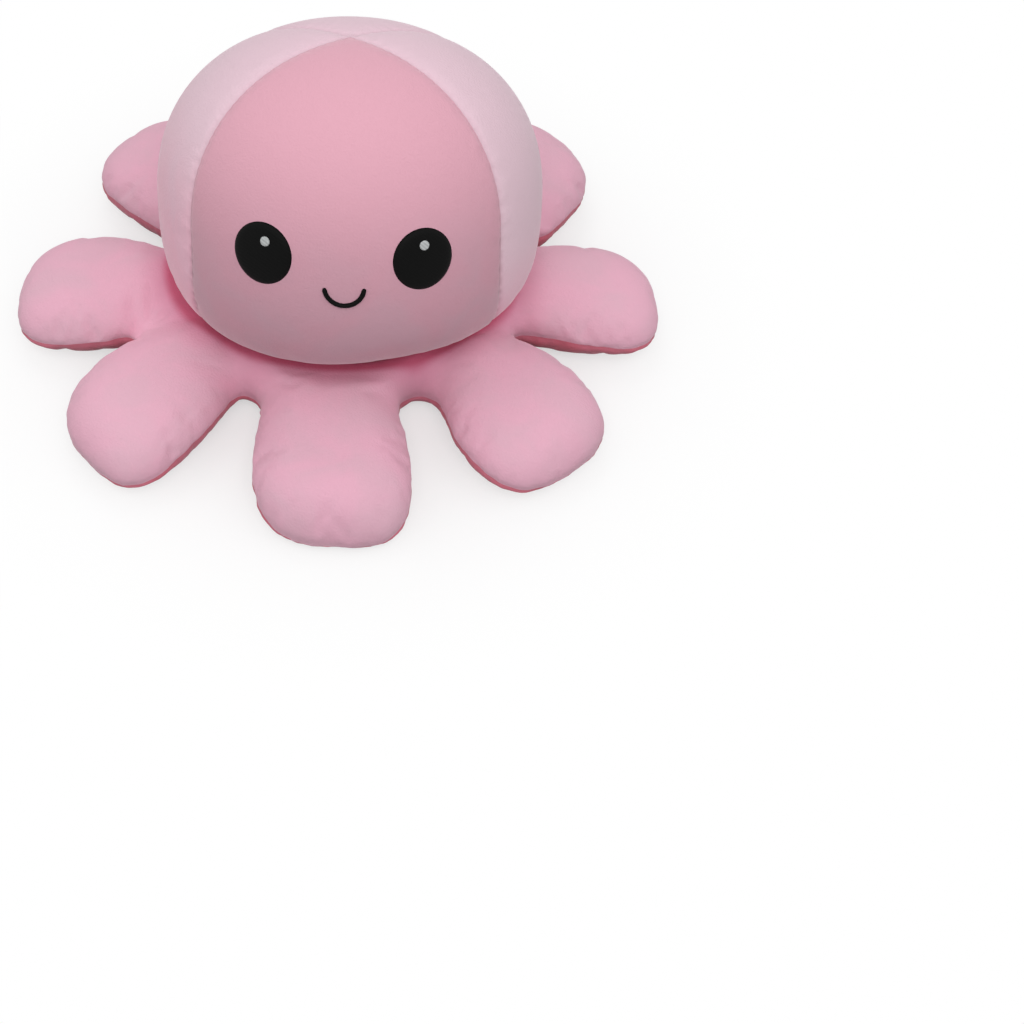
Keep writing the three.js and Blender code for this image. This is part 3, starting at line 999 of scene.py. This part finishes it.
@dataclass
class Head:
    """The light head: a leaning, flattened ball with full cheeks, which rests on the skirt."""

    centre: Vector
    nod: float
    half_width: float = mm(57.2)
    half_height: float = mm(49)
    lean: float = math.radians(20)
    lean_fade_start: float = math.radians(85)
    lean_fade_end: float = math.radians(117.9)
    lean_rounds: int = 4
    ball_radius: float = mm(51.2)
    ball_margin: float = mm(0.6)
    under_height: float = mm(32.9)
    crown_fullness: float = 2.25
    cheek_fullness: float = 2.8
    chin: Triple = (0.18, -0.71, -0.68)
    chin_reach: float = mm(54)
    edge_sharpness: float = 22.0
    inset: float = mm(1.2)
    rim_polar: float = math.radians(151.5)
    seams: Seams = Seams(turn=math.radians(-2.4))
    seam_depth: float = mm(0.35)
    seam_reach: float = mm(1.0)
    seam_gather: float = 0.55
    pillow: float = mm(0.35)
    pillow_reach: float = mm(9)
    pucker_height: float = mm(0.1)
    pucker_reach: float = mm(3)
    pucker_spacing: float = mm(3.4)
    pucker_waver: float = 60.0
    stitch_width: float = mm(0.8)
    stitch_shade: tuple[float, float] = (0.6, 0.4)
    stitch_least: float = 0.25
    stitch_full_height: float = mm(75)
    stitch_fade: float = mm(30)
    swell_limit: float = mm(0.6)
    swell_height: float = mm(34)
    held_width: float = mm(0.8)
    lopsided: float = mm(2.4)
    lopsided_wider: float = 0.25
    lopsided_height: float = mm(20)
    lopsided_reach: float = mm(20)
    wide_columns: int = 52
    narrow_columns: int = 38
    rows: int = 60
    ball_rows: int = 16

    def lean_at(self, polar: float) -> float:
        """How far back the head leans at an angle down from the crown."""
        past = (polar - self.lean_fade_start) / (self.lean_fade_end - self.lean_fade_start)
        return self.lean * (1 - eased(past))

    def direction(self, polar: float, azimuth: float) -> Vector:
        """Gives the direction out of the head by its angle down from the leaning crown and its azimuth."""
        upright = round_point(azimuth, math.sin(polar), math.cos(polar))
        return Matrix.Rotation(-self.lean_at(polar), 3, "X") @ upright

    def angles(self, way: Vector) -> tuple[float, float]:
        """Finds the angles that lead along a direction.

        Args:
            way: The direction out of the head.

        Returns:
            The angle down from the crown, and the azimuth.
        """
        upright = way
        polar = math.acos(max(min(upright.z, 1.0), -1.0))
        for _ in range(self.lean_rounds):
            upright = Matrix.Rotation(self.lean_at(polar), 3, "X") @ way
            polar = math.acos(max(min(upright.z, 1.0), -1.0))
        return polar, azimuth_of(upright)

    def held_within(self, length: float, share: float) -> float:
        """Shortens a length where its share of a limit nears 1, with a rounded edge between the two."""
        return length * (1 + share ** self.edge_sharpness) ** (-1 / self.edge_sharpness)

    def reach(self, direction: Vector) -> float:
        """Gives how far the cloth stands from the head's centre.

        Args:
            direction: The direction out of the head.

        Returns:
            The distance along it.
        """
        crown = direction.y * math.sin(self.lean) + direction.z * math.cos(self.lean)
        level = math.sqrt(max(1 - crown ** 2, 0.0))
        full = self.crown_fullness if crown > 0 else self.cheek_fullness
        ball = ((level / self.half_width) ** full + (abs(crown) / self.half_height) ** full) ** (-1 / full)
        towards_chin = max(direction.dot(Vector(self.chin)), 0.0)
        cheek = self.held_within(ball, towards_chin * ball / self.chin_reach) - self.inset
        if direction.z >= 0:
            return cheek
        below = math.hypot(direction.y, direction.z)
        tilt = max(math.atan2(abs(direction.y), -direction.z) - self.nod, 0.0)
        level = below * math.cos(tilt) / self.under_height
        return min(cheek, max(self.ball_radius, self.held_within(cheek, cheek * level)))

    def crease_polar(self, azimuth: float) -> float:
        """Gives where the underside of the cheeks meets the ball that sits in the skirt.

        Args:
            azimuth: The azimuth.

        Returns:
            The angle down from the crown.
        """
        tilted = abs(math.cos(azimuth)) * math.sin(self.nod)
        slope = math.hypot(tilted, math.cos(self.nod))
        level = self.under_height / self.ball_radius
        nodded = math.atan2(tilted, math.cos(self.nod)) + math.acos(level / slope)
        return math.pi - max(nodded, math.acos(level))

    def column_azimuth(self, share: float) -> float:
        """Spreads the skin's columns over its panels, closer at their seams, with one on every seam.

        Args:
            share: The share of the columns up to this one.

        Returns:
            The column's azimuth.
        """
        seams = self.seams.azimuths
        counts = [self.wide_columns, self.narrow_columns] * 2
        column = share * sum(counts)
        for panel, count in enumerate(counts):
            if column <= count + 1e-6:
                even = column / count
                gathered = even - self.seam_gather * math.sin(FULL_TURN * even) / FULL_TURN
                return between(seams[panel], seams[panel + 1], gathered)
            column -= count
        return seams[-1]

    def place(self, around: float, down: float) -> Vector:
        """Gives a place on the head's skin, from its crown down to the pocket's rim.

        Args:
            around: The share of the way round.
            down: The share of the way down.

        Returns:
            The place.
        """
        azimuth = self.column_azimuth(around)
        row = down * (self.rows + self.ball_rows)
        crease = self.crease_polar(azimuth)
        if row <= self.rows:
            polar = crease * row / self.rows
        else:
            polar = between(crease, self.rim_polar, (row - self.rows) / self.ball_rows)
        way = self.direction(polar, azimuth)
        return self.centre + way * self.reach(way)

    def seam_distance(self, point: Vector) -> tuple[float, float]:
        """Measures from a point to the nearest seam.

        Args:
            point: The point.

        Returns:
            How far the seam is, and how far along it the point lies.
        """
        polar, azimuth = self.angles((point - self.centre).normalized())
        radius = (point - self.centre).length
        return self.seams.gap(azimuth) * math.sin(polar) * radius, polar * radius

    def is_held(self, vert: Corner) -> bool:
        """Says whether a corner stays in place: low on the head, or on a seam."""
        return vert.co.z < self.swell_height or self.seam_distance(vert.co)[0] < self.held_width

    def sew(self, bm: Skin) -> None:
        """Draws the skin in along its seams, with small puckers and stitches, and numbers its panels.

        Args:
            bm: The skin.
        """
        bm.normal_update()
        stitch = bm.verts.layers.float.new("stitch")
        shade, contrast = self.stitch_shade
        for vert in bm.verts:
            on_ball = (vert.co - self.centre).length < self.ball_radius + self.ball_margin
            if vert.co.z < self.centre.z and on_ball:
                continue
            gap, along = self.seam_distance(vert.co)
            ripple = math.sin(
                FULL_TURN * along / self.pucker_spacing + 2 * noise.noise(vert.co * self.pucker_waver)
            )
            lower = eased((self.stitch_full_height - vert.co.z) / self.stitch_fade)
            open_pile = between(self.stitch_least, 1.0, lower)
            vert[stitch] = hump(gap, self.stitch_width) * (shade - contrast * ripple) * open_pile
            depth = self.seam_depth * hump(gap, self.seam_reach) + self.pillow * hump(gap, self.pillow_reach)
            vert.co += vert.normal * (self.pucker_height * ripple * hump(gap, self.pucker_reach) - depth)
        layer = bm.faces.layers.int.new("panel")
        for face in bm.faces:
            _, azimuth = self.angles((face.calc_center_median() - self.centre).normalized())
            face[layer] = self.seams.panel(azimuth).value

    def settled(self, point: Vector) -> Vector:
        """Moves a point of the head to one side, as the filling has, but not where it sits in the skirt.

        Args:
            point: The point.

        Returns:
            Its new place.
        """
        shift = self.lopsided * (1 + self.lopsided_wider * point.x / self.half_width)
        share = eased((point.z - self.lopsided_height) / self.lopsided_reach)
        return point + Vector((shift * share, 0.0, 0.0))

    def build(self, inflation: Inflation, finishes: dict[Panel, Finish]) -> BVHTree:
        """Makes the four panels.

        Args:
            inflation: How the skin is blown up.
            finishes: The material and slot of each panel.

        Returns:
            The head's surface, for the face to lie on.
        """
        columns = 2 * (self.wide_columns + self.narrow_columns)
        bm = wrapped_skin(columns, self.rows + self.ball_rows, self.place)
        bm = inflation.blown_up(bm, "head_skin", self.is_held, self.swell_limit)
        bm = smoothed_twice_as_fine(bm, "head_finer")
        self.sew(bm)
        for vert in bm.verts:
            vert.co = self.settled(vert.co)
        bm.normal_update()
        surface = BVHTree.FromBMesh(bm)
        layer = bm.faces.layers.int["panel"]
        for panel in Panel:
            word = panel.name.lower()
            piece = piece_of(bm, f"head_{word}_cloth", lambda face: face[layer] == panel.value)
            filling = ["head_stuffing"] if panel is Panel.FRONT else []
            dress(piece, finishes[panel], f"head_{word}_panel", *filling)
            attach(piece, "head")
        bm.free()
        return surface


@dataclass
class Pocket:
    """The dark lining that the other head leaves under the light one."""

    hem_radius: float = mm(27.6)
    hem_height: float = mm(0.9)
    hem_share: float = 0.12
    mouth_radius: float = mm(24.5)
    belly_radius: float = mm(28)
    centre_height: float = mm(25.2)
    half_height: float = mm(36.4)
    fold_depth: float = mm(0.9)
    folds_round: float = 2.2
    folds_up: float = 18.0
    seams: Seams = Seams()
    seam_depth: float = mm(0.7)
    seam_reach: float = mm(1.5)
    crown_radius: float = mm(6)
    columns: int = 144
    rows: int = 64
    bend_low: float = mm(7)
    bend_high: float = mm(24)

    def hang(self, piece: Piece) -> None:
        """Bakes a piece's place into its mesh."""
        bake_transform(piece)

    def place(self, around: float, up: float) -> Vector:
        """Gives a place on the lining, from its hem up to its crown.

        Args:
            around: The share of the way round.
            up: The share of the way up.

        Returns:
            The place.
        """
        azimuth = around * FULL_TURN - self.seams.front
        start = -math.acos(self.mouth_radius / self.belly_radius)
        if up < self.hem_share:
            share = up / self.hem_share
            radius = between(self.hem_radius, self.mouth_radius, eased(share))
            height = between(self.hem_height, self.centre_height + self.half_height * math.sin(start), share)
        else:
            rise = between(start, math.pi / 2, (up - self.hem_share) / (1 - self.hem_share))
            radius = self.belly_radius * math.cos(rise)
            height = self.centre_height + self.half_height * math.sin(rise)
            round_x, round_y = math.sin(azimuth) * self.folds_round, math.cos(azimuth) * self.folds_round
            waves = noise.noise(Vector((round_x, round_y, height * self.folds_up)))
            radius += self.fold_depth * waves * math.cos(rise)
        gap = self.seams.gap(azimuth) * radius
        radius += self.seam_depth * hump(gap, self.seam_reach) * min(radius / self.crown_radius, 1.0)
        return round_point(azimuth, radius, height)

    def build(self, finish: Finish) -> BVHTree:
        """Makes the four panels of the lining.

        Args:
            finish: The dark cloth and its slot.

        Returns:
            The lining's surface, for the other face to lie on.
        """
        bm = wrapped_skin(self.columns, self.rows, self.place)
        bm.normal_update()
        if bm.faces[0].normal.dot(bm.faces[0].calc_center_median().xy.to_3d()) > 0:
            bmesh.ops.reverse_faces(bm, faces=bm.faces[:])
            bm.normal_update()
        surface = BVHTree.FromBMesh(bm)
        for panel in Panel:
            word = panel.name.lower()
            piece = piece_of(
                bm, f"pocket_{word}_lining",
                lambda face: self.seams.panel(azimuth_of(face.calc_center_median())) is panel,
            )
            dress(piece, finish, f"pocket_{word}_panel")
            self.hang(piece)
        bm.free()
        return surface


# The faces


def oval(width: float, height: float) -> Outline:
    """Gives the outline of an oval.

    Args:
        width: Its width.
        height: Its height.

    Returns:
        The outline, by the share of the way round.
    """
    def outline(share: float) -> tuple[float, float]:
        """Gives the outline's place at a share of the way round."""
        turn = share * FULL_TURN
        return width / 2 * math.cos(turn), height / 2 * math.sin(turn)
    return outline


def hanging_arc(width: float, depth: float) -> Outline:
    """Gives an arc that hangs down by its depth, or arches up where that is negative.

    Args:
        width: From end to end.
        depth: How far it hangs.

    Returns:
        The path, by the share of the way along.
    """
    half_turn = 2 * math.atan(2 * abs(depth) / width)
    radius = width / 2 / math.sin(half_turn)

    def path(share: float) -> tuple[float, float]:
        """Gives a place on the arc.

        Args:
            share: The share of the way along.

        Returns:
            Its offset to the right and up.
        """
        turn = between(-half_turn, half_turn, share)
        fall = radius - abs(depth) / 2 - radius * math.cos(turn)
        return radius * math.sin(turn), math.copysign(fall, fall * depth)
    return path


@dataclass
class Stitcher:
    """Lays embroidery on a surface, seen from a centre inside it."""

    surface: BVHTree
    centre: Vector
    outside: bool
    black: Finish
    white: Finish
    hang: Callable[[Piece], None]
    thickness: float = mm(0.8)
    glint_thickness: float = mm(0.4)
    tucked_in: float = mm(-0.35)
    edge_roundness: float = 6.0
    rings: int = 10
    sides: int = 72
    line_sides: int = 16
    line_steps: int = 60
    line_end: float = 0.06
    look_ahead: float = 0.01
    joined: float = mm(0.004)

    def lay(self, middle: Vector, x: float, y: float, proud: float) -> Vector:
        """Finds the place on the surface that lies at an offset from a patch's middle direction.

        Args:
            middle: The direction from the centre to the patch's middle.
            x: How far to the right of it, as someone who faces the patch sees it.
            y: How far up.
            proud: How far to stand off the cloth.

        Returns:
            The place.
        """
        right, up = right_and_up(middle)
        if not self.outside:
            right = -right
        hit, _, _, reach = self.surface.ray_cast(self.centre, middle)
        target = self.centre + middle * reach + right * x + up * y
        way = (target - self.centre).normalized()
        found, normal, _, _ = self.surface.ray_cast(self.centre, way)
        if found is None:
            found, normal = hit, way
        off = normal if (normal.dot(way) > 0) == self.outside else -normal
        return found + off * proud

    def dome(self, name: str, middle: Vector, outline: Outline, thickness: float, lift: float = 0.0) -> Piece:
        """Makes a filled patch of satin stitch, domed and closed behind.

        Args:
            name: The patch's name.
            middle: The direction from the centre to its middle.
            outline: Gives the outline's offset from the middle, by the share of the way round.
            thickness: How far its middle stands proud.
            lift: How far its edge stands proud.

        Returns:
            The patch.
        """
        def place(around: float, inward: float) -> Vector:
            """Gives a place on the patch.

            Args:
                around: The share of the way round.
                inward: The share of the way from the tucked-in edge to the middle.

            Returns:
                The place.
            """
            x, y = outline(around)
            share = max(1.0 - max(inward * (self.rings + 1) - 1, 0.0) / self.rings, 0.0)
            rise = math.sqrt(max(1 - share ** self.edge_roundness, 0.0)) * thickness + lift
            proud = self.tucked_in if inward < 0.5 / (self.rings + 1) else rise
            return self.lay(middle, x * share, y * share, proud)

        return object_of(name, wrapped_skin(self.sides, self.rings + 1, place, self.joined, filled=True))

    def line(self, name: str, middle: Vector, path: Outline, width: float) -> Piece:
        """Makes a line of satin stitch, round in section, with round ends.

        Args:
            name: The line's name.
            middle: The direction from the centre to its middle.
            path: Gives the line's offset from the middle, by the share of the way along.
            width: How wide it is.

        Returns:
            The line.
        """
        def place(around: float, along: float) -> Vector:
            """Gives a place on the line.

            Args:
                around: The share of the way round its section.
                along: The share of the way along it.

            Returns:
                The place.
            """
            x, y = path(along)
            ahead, behind = path(min(along + self.look_ahead, 1.0)), path(max(along - self.look_ahead, 0.0))
            tangent = Vector((ahead[0] - behind[0], ahead[1] - behind[1])).normalized()
            end = min(along, 1 - along) / self.line_end
            size = math.sqrt(max(1 - (1 - min(end, 1.0)) ** 2, 0.0))
            turn = around * FULL_TURN
            across = math.cos(turn) * width / 2 * size
            proud = math.sin(turn) * self.thickness * size
            return self.lay(middle, x - tangent.y * across, y + tangent.x * across, proud)

        return object_of(name, wrapped_skin(self.line_sides, self.line_steps, place, self.joined))

    def add(self, piece: Piece, finish: Finish, node: str) -> None:
        """Dresses a patch or a line and hangs it with the stitcher's hang."""
        dress(piece, finish, node)
        self.hang(piece)

    def eye(self, name: str, middle: Vector, outline: Outline, glint: Vector, glint_width: float) -> None:
        """Sews an eye on, with its glint.

        Args:
            name: The eye's name.
            middle: The direction from the centre to its middle.
            outline: Its outline.
            glint: The direction to the glint's middle.
            glint_width: The glint's width.
        """
        self.add(self.dome(f"{name}_stitching", middle, outline, self.thickness), self.black, name)
        spot = self.dome(
            f"{name}_glint_stitching", glint, oval(glint_width, glint_width), self.glint_thickness,
            lift=self.thickness,
        )
        self.add(spot, self.white, f"{name}_glint")

    def mouth(self, name: str, middle: Vector, path: Outline, width: float) -> None:
        """Sews a mouth on.

        Args:
            name: The mouth's name.
            middle: The direction from the centre to its middle.
            path: The line that it follows.
            width: How wide the line is.
        """
        self.add(self.line(f"{name}_stitching", middle, path, width), self.black, name)


@dataclass
class HappyFace:
    """The embroidered face on the light side."""

    eye_width: float = mm(17.9)
    eye_height: float = mm(18.5)
    eyes: tuple[tuple[str, float, float], ...] = (("left", -23.7, 87.0), ("right", 22.8, 87.6))
    glint_width: float = mm(2.8)
    glint_rise: float = mm(4.3)
    glint_shift: float = mm(0.7)
    smile_width: float = mm(11.2)
    smile_depth: float = mm(5.4)
    smile_drop: float = math.radians(94.2)
    smile_turn: float = math.radians(0.3)
    thread_width: float = mm(1.4)

    def build(self, head: Head, surface: BVHTree, black: Finish, white: Finish) -> None:
        """Sews the eyes and the smile on.

        Args:
            head: The head, for its directions.
            surface: Its finished skin.
            black: The dark thread and its slot.
            white: The white thread and its slot.
        """
        stitcher = Stitcher(surface, head.centre, True, black, white, lambda piece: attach(piece, "head"))
        for side, turn, drop in self.eyes:
            middle = head.direction(math.radians(drop), math.radians(turn))
            right, up = right_and_up(middle)
            glint = (middle * head.half_width + up * self.glint_rise + right * self.glint_shift).normalized()
            outline = oval(self.eye_width, self.eye_height)
            stitcher.eye(f"{side}_eye", middle, outline, glint, self.glint_width)
        middle = head.direction(self.smile_drop, self.smile_turn)
        stitcher.mouth("smile", middle, hanging_arc(self.smile_width, self.smile_depth), self.thread_width)


@dataclass
class SulkyFace:
    """The embroidered face on the dark side, on the front wall of the pocket."""

    eye_width: float = mm(17.5)
    eye_height: float = mm(14.5)
    lid_height: float = 0.3
    lid_slope: float = 0.34
    spread: float = math.radians(40)
    height: float = mm(33)
    glint_width: float = mm(2.6)
    frown_width: float = mm(12.4)
    frown_rise: float = mm(4)
    frown_fall: float = mm(8)
    thread_width: float = mm(1.5)

    def outline(self, side: int) -> Outline:
        """Gives a half-round eye under a lid that slants down towards the middle of the face.

        Args:
            side: 1 where the lid is higher on the right, -1 where it is higher on the left.

        Returns:
            The outline, by the share of the way round.
        """
        def path(share: float) -> tuple[float, float]:
            """Gives the outline's place at a share of the way round."""
            x, y = oval(1.0, 1.0)(share)
            return x * self.eye_width, min(y, self.lid_height + self.lid_slope * x * side) * self.eye_height
        return path

    def build(self, pocket: Pocket, surface: BVHTree, black: Finish, white: Finish) -> None:
        """Sews the other eyes and the frown on.

        Args:
            pocket: The pocket.
            surface: Its lining.
            black: The dark thread and its slot.
            white: The white thread and its slot.
        """
        centre = Vector((0, 0, pocket.centre_height))
        stitcher = Stitcher(surface, centre, False, black, white, pocket.hang)
        rise = self.height - pocket.centre_height
        for name, side in (("left", 1), ("right", -1)):
            middle = round_point(side * self.spread, pocket.belly_radius, rise).normalized()
            stitcher.eye(f"sulky_{name}_eye", middle, self.outline(-side), middle, self.glint_width)
        fall = self.height - self.frown_fall - pocket.centre_height
        middle = round_point(0.0, pocket.belly_radius, fall).normalized()
        stitcher.mouth("frown", middle, hanging_arc(self.frown_width, -self.frown_rise), self.thread_width)


# The studio


@dataclass(frozen=True)
class Lamp:
    """A square lamp that shines at the toy, with its power in watts."""

    name: str
    place: Triple
    size: float
    power: float
    aim: Triple = (0.0, 0.0, mm(30))

    def hang(self) -> None:
        """Hangs the lamp."""
        data = bpy.data.lights.new(self.name, "AREA")
        data.size = self.size
        data.energy = self.power
        obj = bpy.data.objects.new(self.name, data)
        obj.location = self.place
        way = Vector(self.aim) - Vector(self.place)
        obj.rotation_euler = way.to_track_quat("-Z", "Y").to_euler()
        bpy.context.scene.collection.objects.link(obj)


@dataclass
class Studio:
    """A pale floor, soft lamps and a camera at the photograph's viewing angle."""

    camera_place: Triple = (0.0021652, -0.4669422, 0.4917697)
    camera_turn: Triple = (38.191, -3.207, -2.919)
    focal_pixels: float = 2114.4
    image_width: int = 1024
    sensor_width: float = 36.0
    floor_radius: float = 1.2
    floor_sides: int = 96
    floor_level: float = mm(-0.2)
    floor_roughness: float = 0.9
    floor_bounce: Triple = (0.35, 0.35, 0.35)
    floor_white: Triple = (0.95, 0.95, 0.95)
    floor_fade: tuple[float, float] = (0.05, 0.15)
    floor_glow: float = 0.55
    ambient: float = 0.37
    lamps: tuple[Lamp, ...] = (
        Lamp("front_lamp", (0.02, -0.54, 0.75), 0.6, 3.0),
        Lamp("left_lamp", (-0.63, -0.11, 0.67), 0.9, 1.85),
        Lamp("right_lamp", (0.63, -0.11, 0.67), 0.9, 1.85),
        Lamp("back_lamp", (-0.10, 0.58, 0.72), 0.5, 1.4),
    )

    def camera(self) -> None:
        """Sets the camera up."""
        data = bpy.data.cameras.new("camera")
        data.sensor_width = self.sensor_width
        data.lens = self.focal_pixels / self.image_width * self.sensor_width
        obj = bpy.data.objects.new("camera", data)
        obj.location = self.camera_place
        obj.rotation_euler = Euler([math.radians(angle) for angle in self.camera_turn], "XYZ")
        bpy.context.scene.collection.objects.link(obj)
        bpy.context.scene.camera = obj

    def background_rays(self, tree: Nodes) -> Socket:
        """Adds the nodes that give 1 to rays from the camera, off gloss and through glass, and 0 to others.

        Args:
            tree: The nodes to add to.

        Returns:
            The output.
        """
        rays = added(tree, "LightPath", {}).outputs
        seen = rays["Is Camera Ray"]
        for kind in ("Is Glossy Ray", "Is Transmission Ray"):
            seen = added(tree, "Math", {0: seen, 1: rays[kind]}, operation="MAXIMUM").outputs["Value"]
        return seen

    def floor(self) -> None:
        """Lays the floor, which takes the toy's shadow and fades to white away from it."""
        bm = bmesh.new()
        bmesh.ops.create_circle(bm, cap_ends=True, radius=self.floor_radius, segments=self.floor_sides)
        bmesh.ops.translate(bm, verts=bm.verts[:], vec=(0, 0, self.floor_level))
        floor = object_of("floor", bm)
        material, tree, place = started_material("pale_floor")
        rays = self.background_rays(tree)
        pale = blended_colours(tree, rays, self.floor_bounce, self.floor_white)
        shader = tree.nodes["Principled BSDF"]
        wire(tree, shader, {"Base Color": pale, "Roughness": self.floor_roughness})
        out = added(tree, "VectorMath", {0: place}, operation="LENGTH").outputs["Value"]
        fade = smooth_step(tree, out, *self.floor_fade, self.floor_glow)
        seen = added(tree, "Math", {0: rays, 1: fade}, operation="MULTIPLY").outputs["Value"]
        white = added(tree, "Emission", {}).outputs["Emission"]
        mix = added(tree, "MixShader", {"Fac": seen, 1: shader.outputs["BSDF"], 2: white})
        wire(tree, tree.nodes["Material Output"], {"Surface": mix.outputs["Shader"]})
        floor.data.materials.append(material)

    def world(self) -> None:
        """Lights the toy evenly from all round, and shows white behind it."""
        world = bpy.data.worlds.new("studio")
        bpy.context.scene.world = world
        world.use_nodes = True
        tree = world.node_tree
        strength = smooth_step(tree, self.background_rays(tree), 0.0, 1.0, self.ambient)
        wire(tree, tree.nodes["Background"], {"Color": (1.0, 1.0, 1.0, 1.0), "Strength": strength})

    def build(self) -> None:
        """Sets up the whole studio."""
        bpy.context.scene.view_settings.view_transform = "Standard"
        self.camera()
        self.floor()
        self.world()
        for lamp in self.lamps:
            lamp.hang()


# The head's front panel: the arms' light cloth darkened as painted shade, with a painted highlight that makes
# it paler towards the crown.
HEAD_PINK_PAINTED_LIGHT = PlushFinish(
    "head_plush", (0.62, 0.325, 0.40), (0.58, 0.34, 0.41),
    pale=(0.765, 0.40, 0.49), painted_light_slope=(0.0, 0.0, 18.9), painted_light_start=0.85, stitched=0.6, sheen=0.45,
)
# The side panels: the light cloth made paler and greyer towards the top and +X, painted sheen where the nap
# lies another way.
SIDE_PINK_PAINTED_SHEEN = PlushFinish(
    "side_plush", (0.89, 0.49, 0.60), (0.84, 0.51, 0.615), pale=(0.79, 0.57, 0.65), stitched=0.6, sheen=0.4,
)
# The arms' and skirt's light cloth, with painted shade towards the neck.
LIMB_PINK = PlushFinish("limb_plush", (0.84, 0.46, 0.58), (0.78, 0.465, 0.565), painted_neck_shade=(0.72, 0.27, 0.40))
DARK_PINK = PlushFinish("dark_plush", (0.68, 0.18, 0.24), (0.64, 0.20, 0.27))
BLACK_THREAD = ThreadFinish("black_thread", (0.002, 0.002, 0.002))
WHITE_THREAD = ThreadFinish("white_thread", (0.55, 0.57, 0.57), specular=0.3)
HABITS = {
    "front_arm": Habit(shift=-4.3, sway=1.5, root_wider=5, wider=2.4, longer=-3.2, slant=0.06, tip_sag=0.6),
    "front_right_arm": Habit(
        shift=4.3, sway=-8.0, root_wider=-5, wider=1.9, longer=-1.8, slant=0.12, tip_sag=0.35
    ),
    "right_arm": Habit(shift=-1.6, sway=-3.9, root_wider=-5, wider=-3.2, longer=-1.0, slant=-0.07),
    "back_right_arm": Habit(shift=-10.0, sway=11.0, root_wider=2, wider=1.0, longer=0.5),
    "back_arm": Habit(),
    "back_left_arm": Habit(shift=3.0, sway=-2.2, longer=-1.0),
    "left_arm": Habit(shift=1.4, sway=-0.7, root_wider=-9, wider=-1.2, longer=0.6, slant=0.12),
    "front_left_arm": Habit(
        shift=-10.0, sway=4.2, root_wider=-4.5, wider=-1.4, longer=0.6, slant=0.09, tip_sag=0.35
    ),
}
NOTCHES = (
    Notch(math.radians(27), bite=mm(6), sag=0.5),
    Notch(math.radians(71), bite=mm(-4)),
    Notch(math.radians(109)),
    Notch(math.radians(157.5)),
    Notch(math.radians(202.5)),
    Notch(math.radians(250)),
    Notch(math.radians(288), bite=mm(-4), joined=mm(16.5)),
    Notch(math.radians(328), bite=mm(2.3), sag=0.5),
)


def main() -> None:
    """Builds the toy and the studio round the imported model."""
    logging.basicConfig(level=logging.INFO, format="%(name)s: %(message)s")
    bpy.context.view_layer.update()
    joints = {joint["name"]: joint for joint in frame["joints"]}
    hinge = Vector(joints["front_arm_lift"]["pos_m"])
    centre = Vector(joints["head_nod"]["pos_m"])
    # The front panel gets the light cloth with painted shade and a painted highlight, and the side panels the
    # copy with painted sheen.
    face = (HEAD_PINK_PAINTED_LIGHT.material(), "light_cloth")
    pale = (SIDE_PINK_PAINTED_SHEEN.material(), "pale_cloth")
    light = (LIMB_PINK.material(), "light_cloth")
    dark = (DARK_PINK.material(), "dark_cloth")
    black = (BLACK_THREAD.material(), "black_thread")
    white = (WHITE_THREAD.material(), "white_thread")
    inflation = Inflation()

    limbs = Limbs(hinge.xy.length, hinge.z, centre, HABITS, NOTCHES)
    limbs.build(inflation, {Cloth.TOP: light, Cloth.UNDERSIDE: dark})
    head = Head(centre, math.radians(joints["head_nod"]["range_deg"][1]))
    skin = head.build(inflation, {panel: face if panel is Panel.FRONT else pale for panel in Panel})
    pocket = Pocket()
    lining = pocket.build(dark)
    HappyFace().build(head, skin, black, white)
    SulkyFace().build(pocket, lining, black, white)
    Studio().build()


if __name__ == "__main__":
    main()
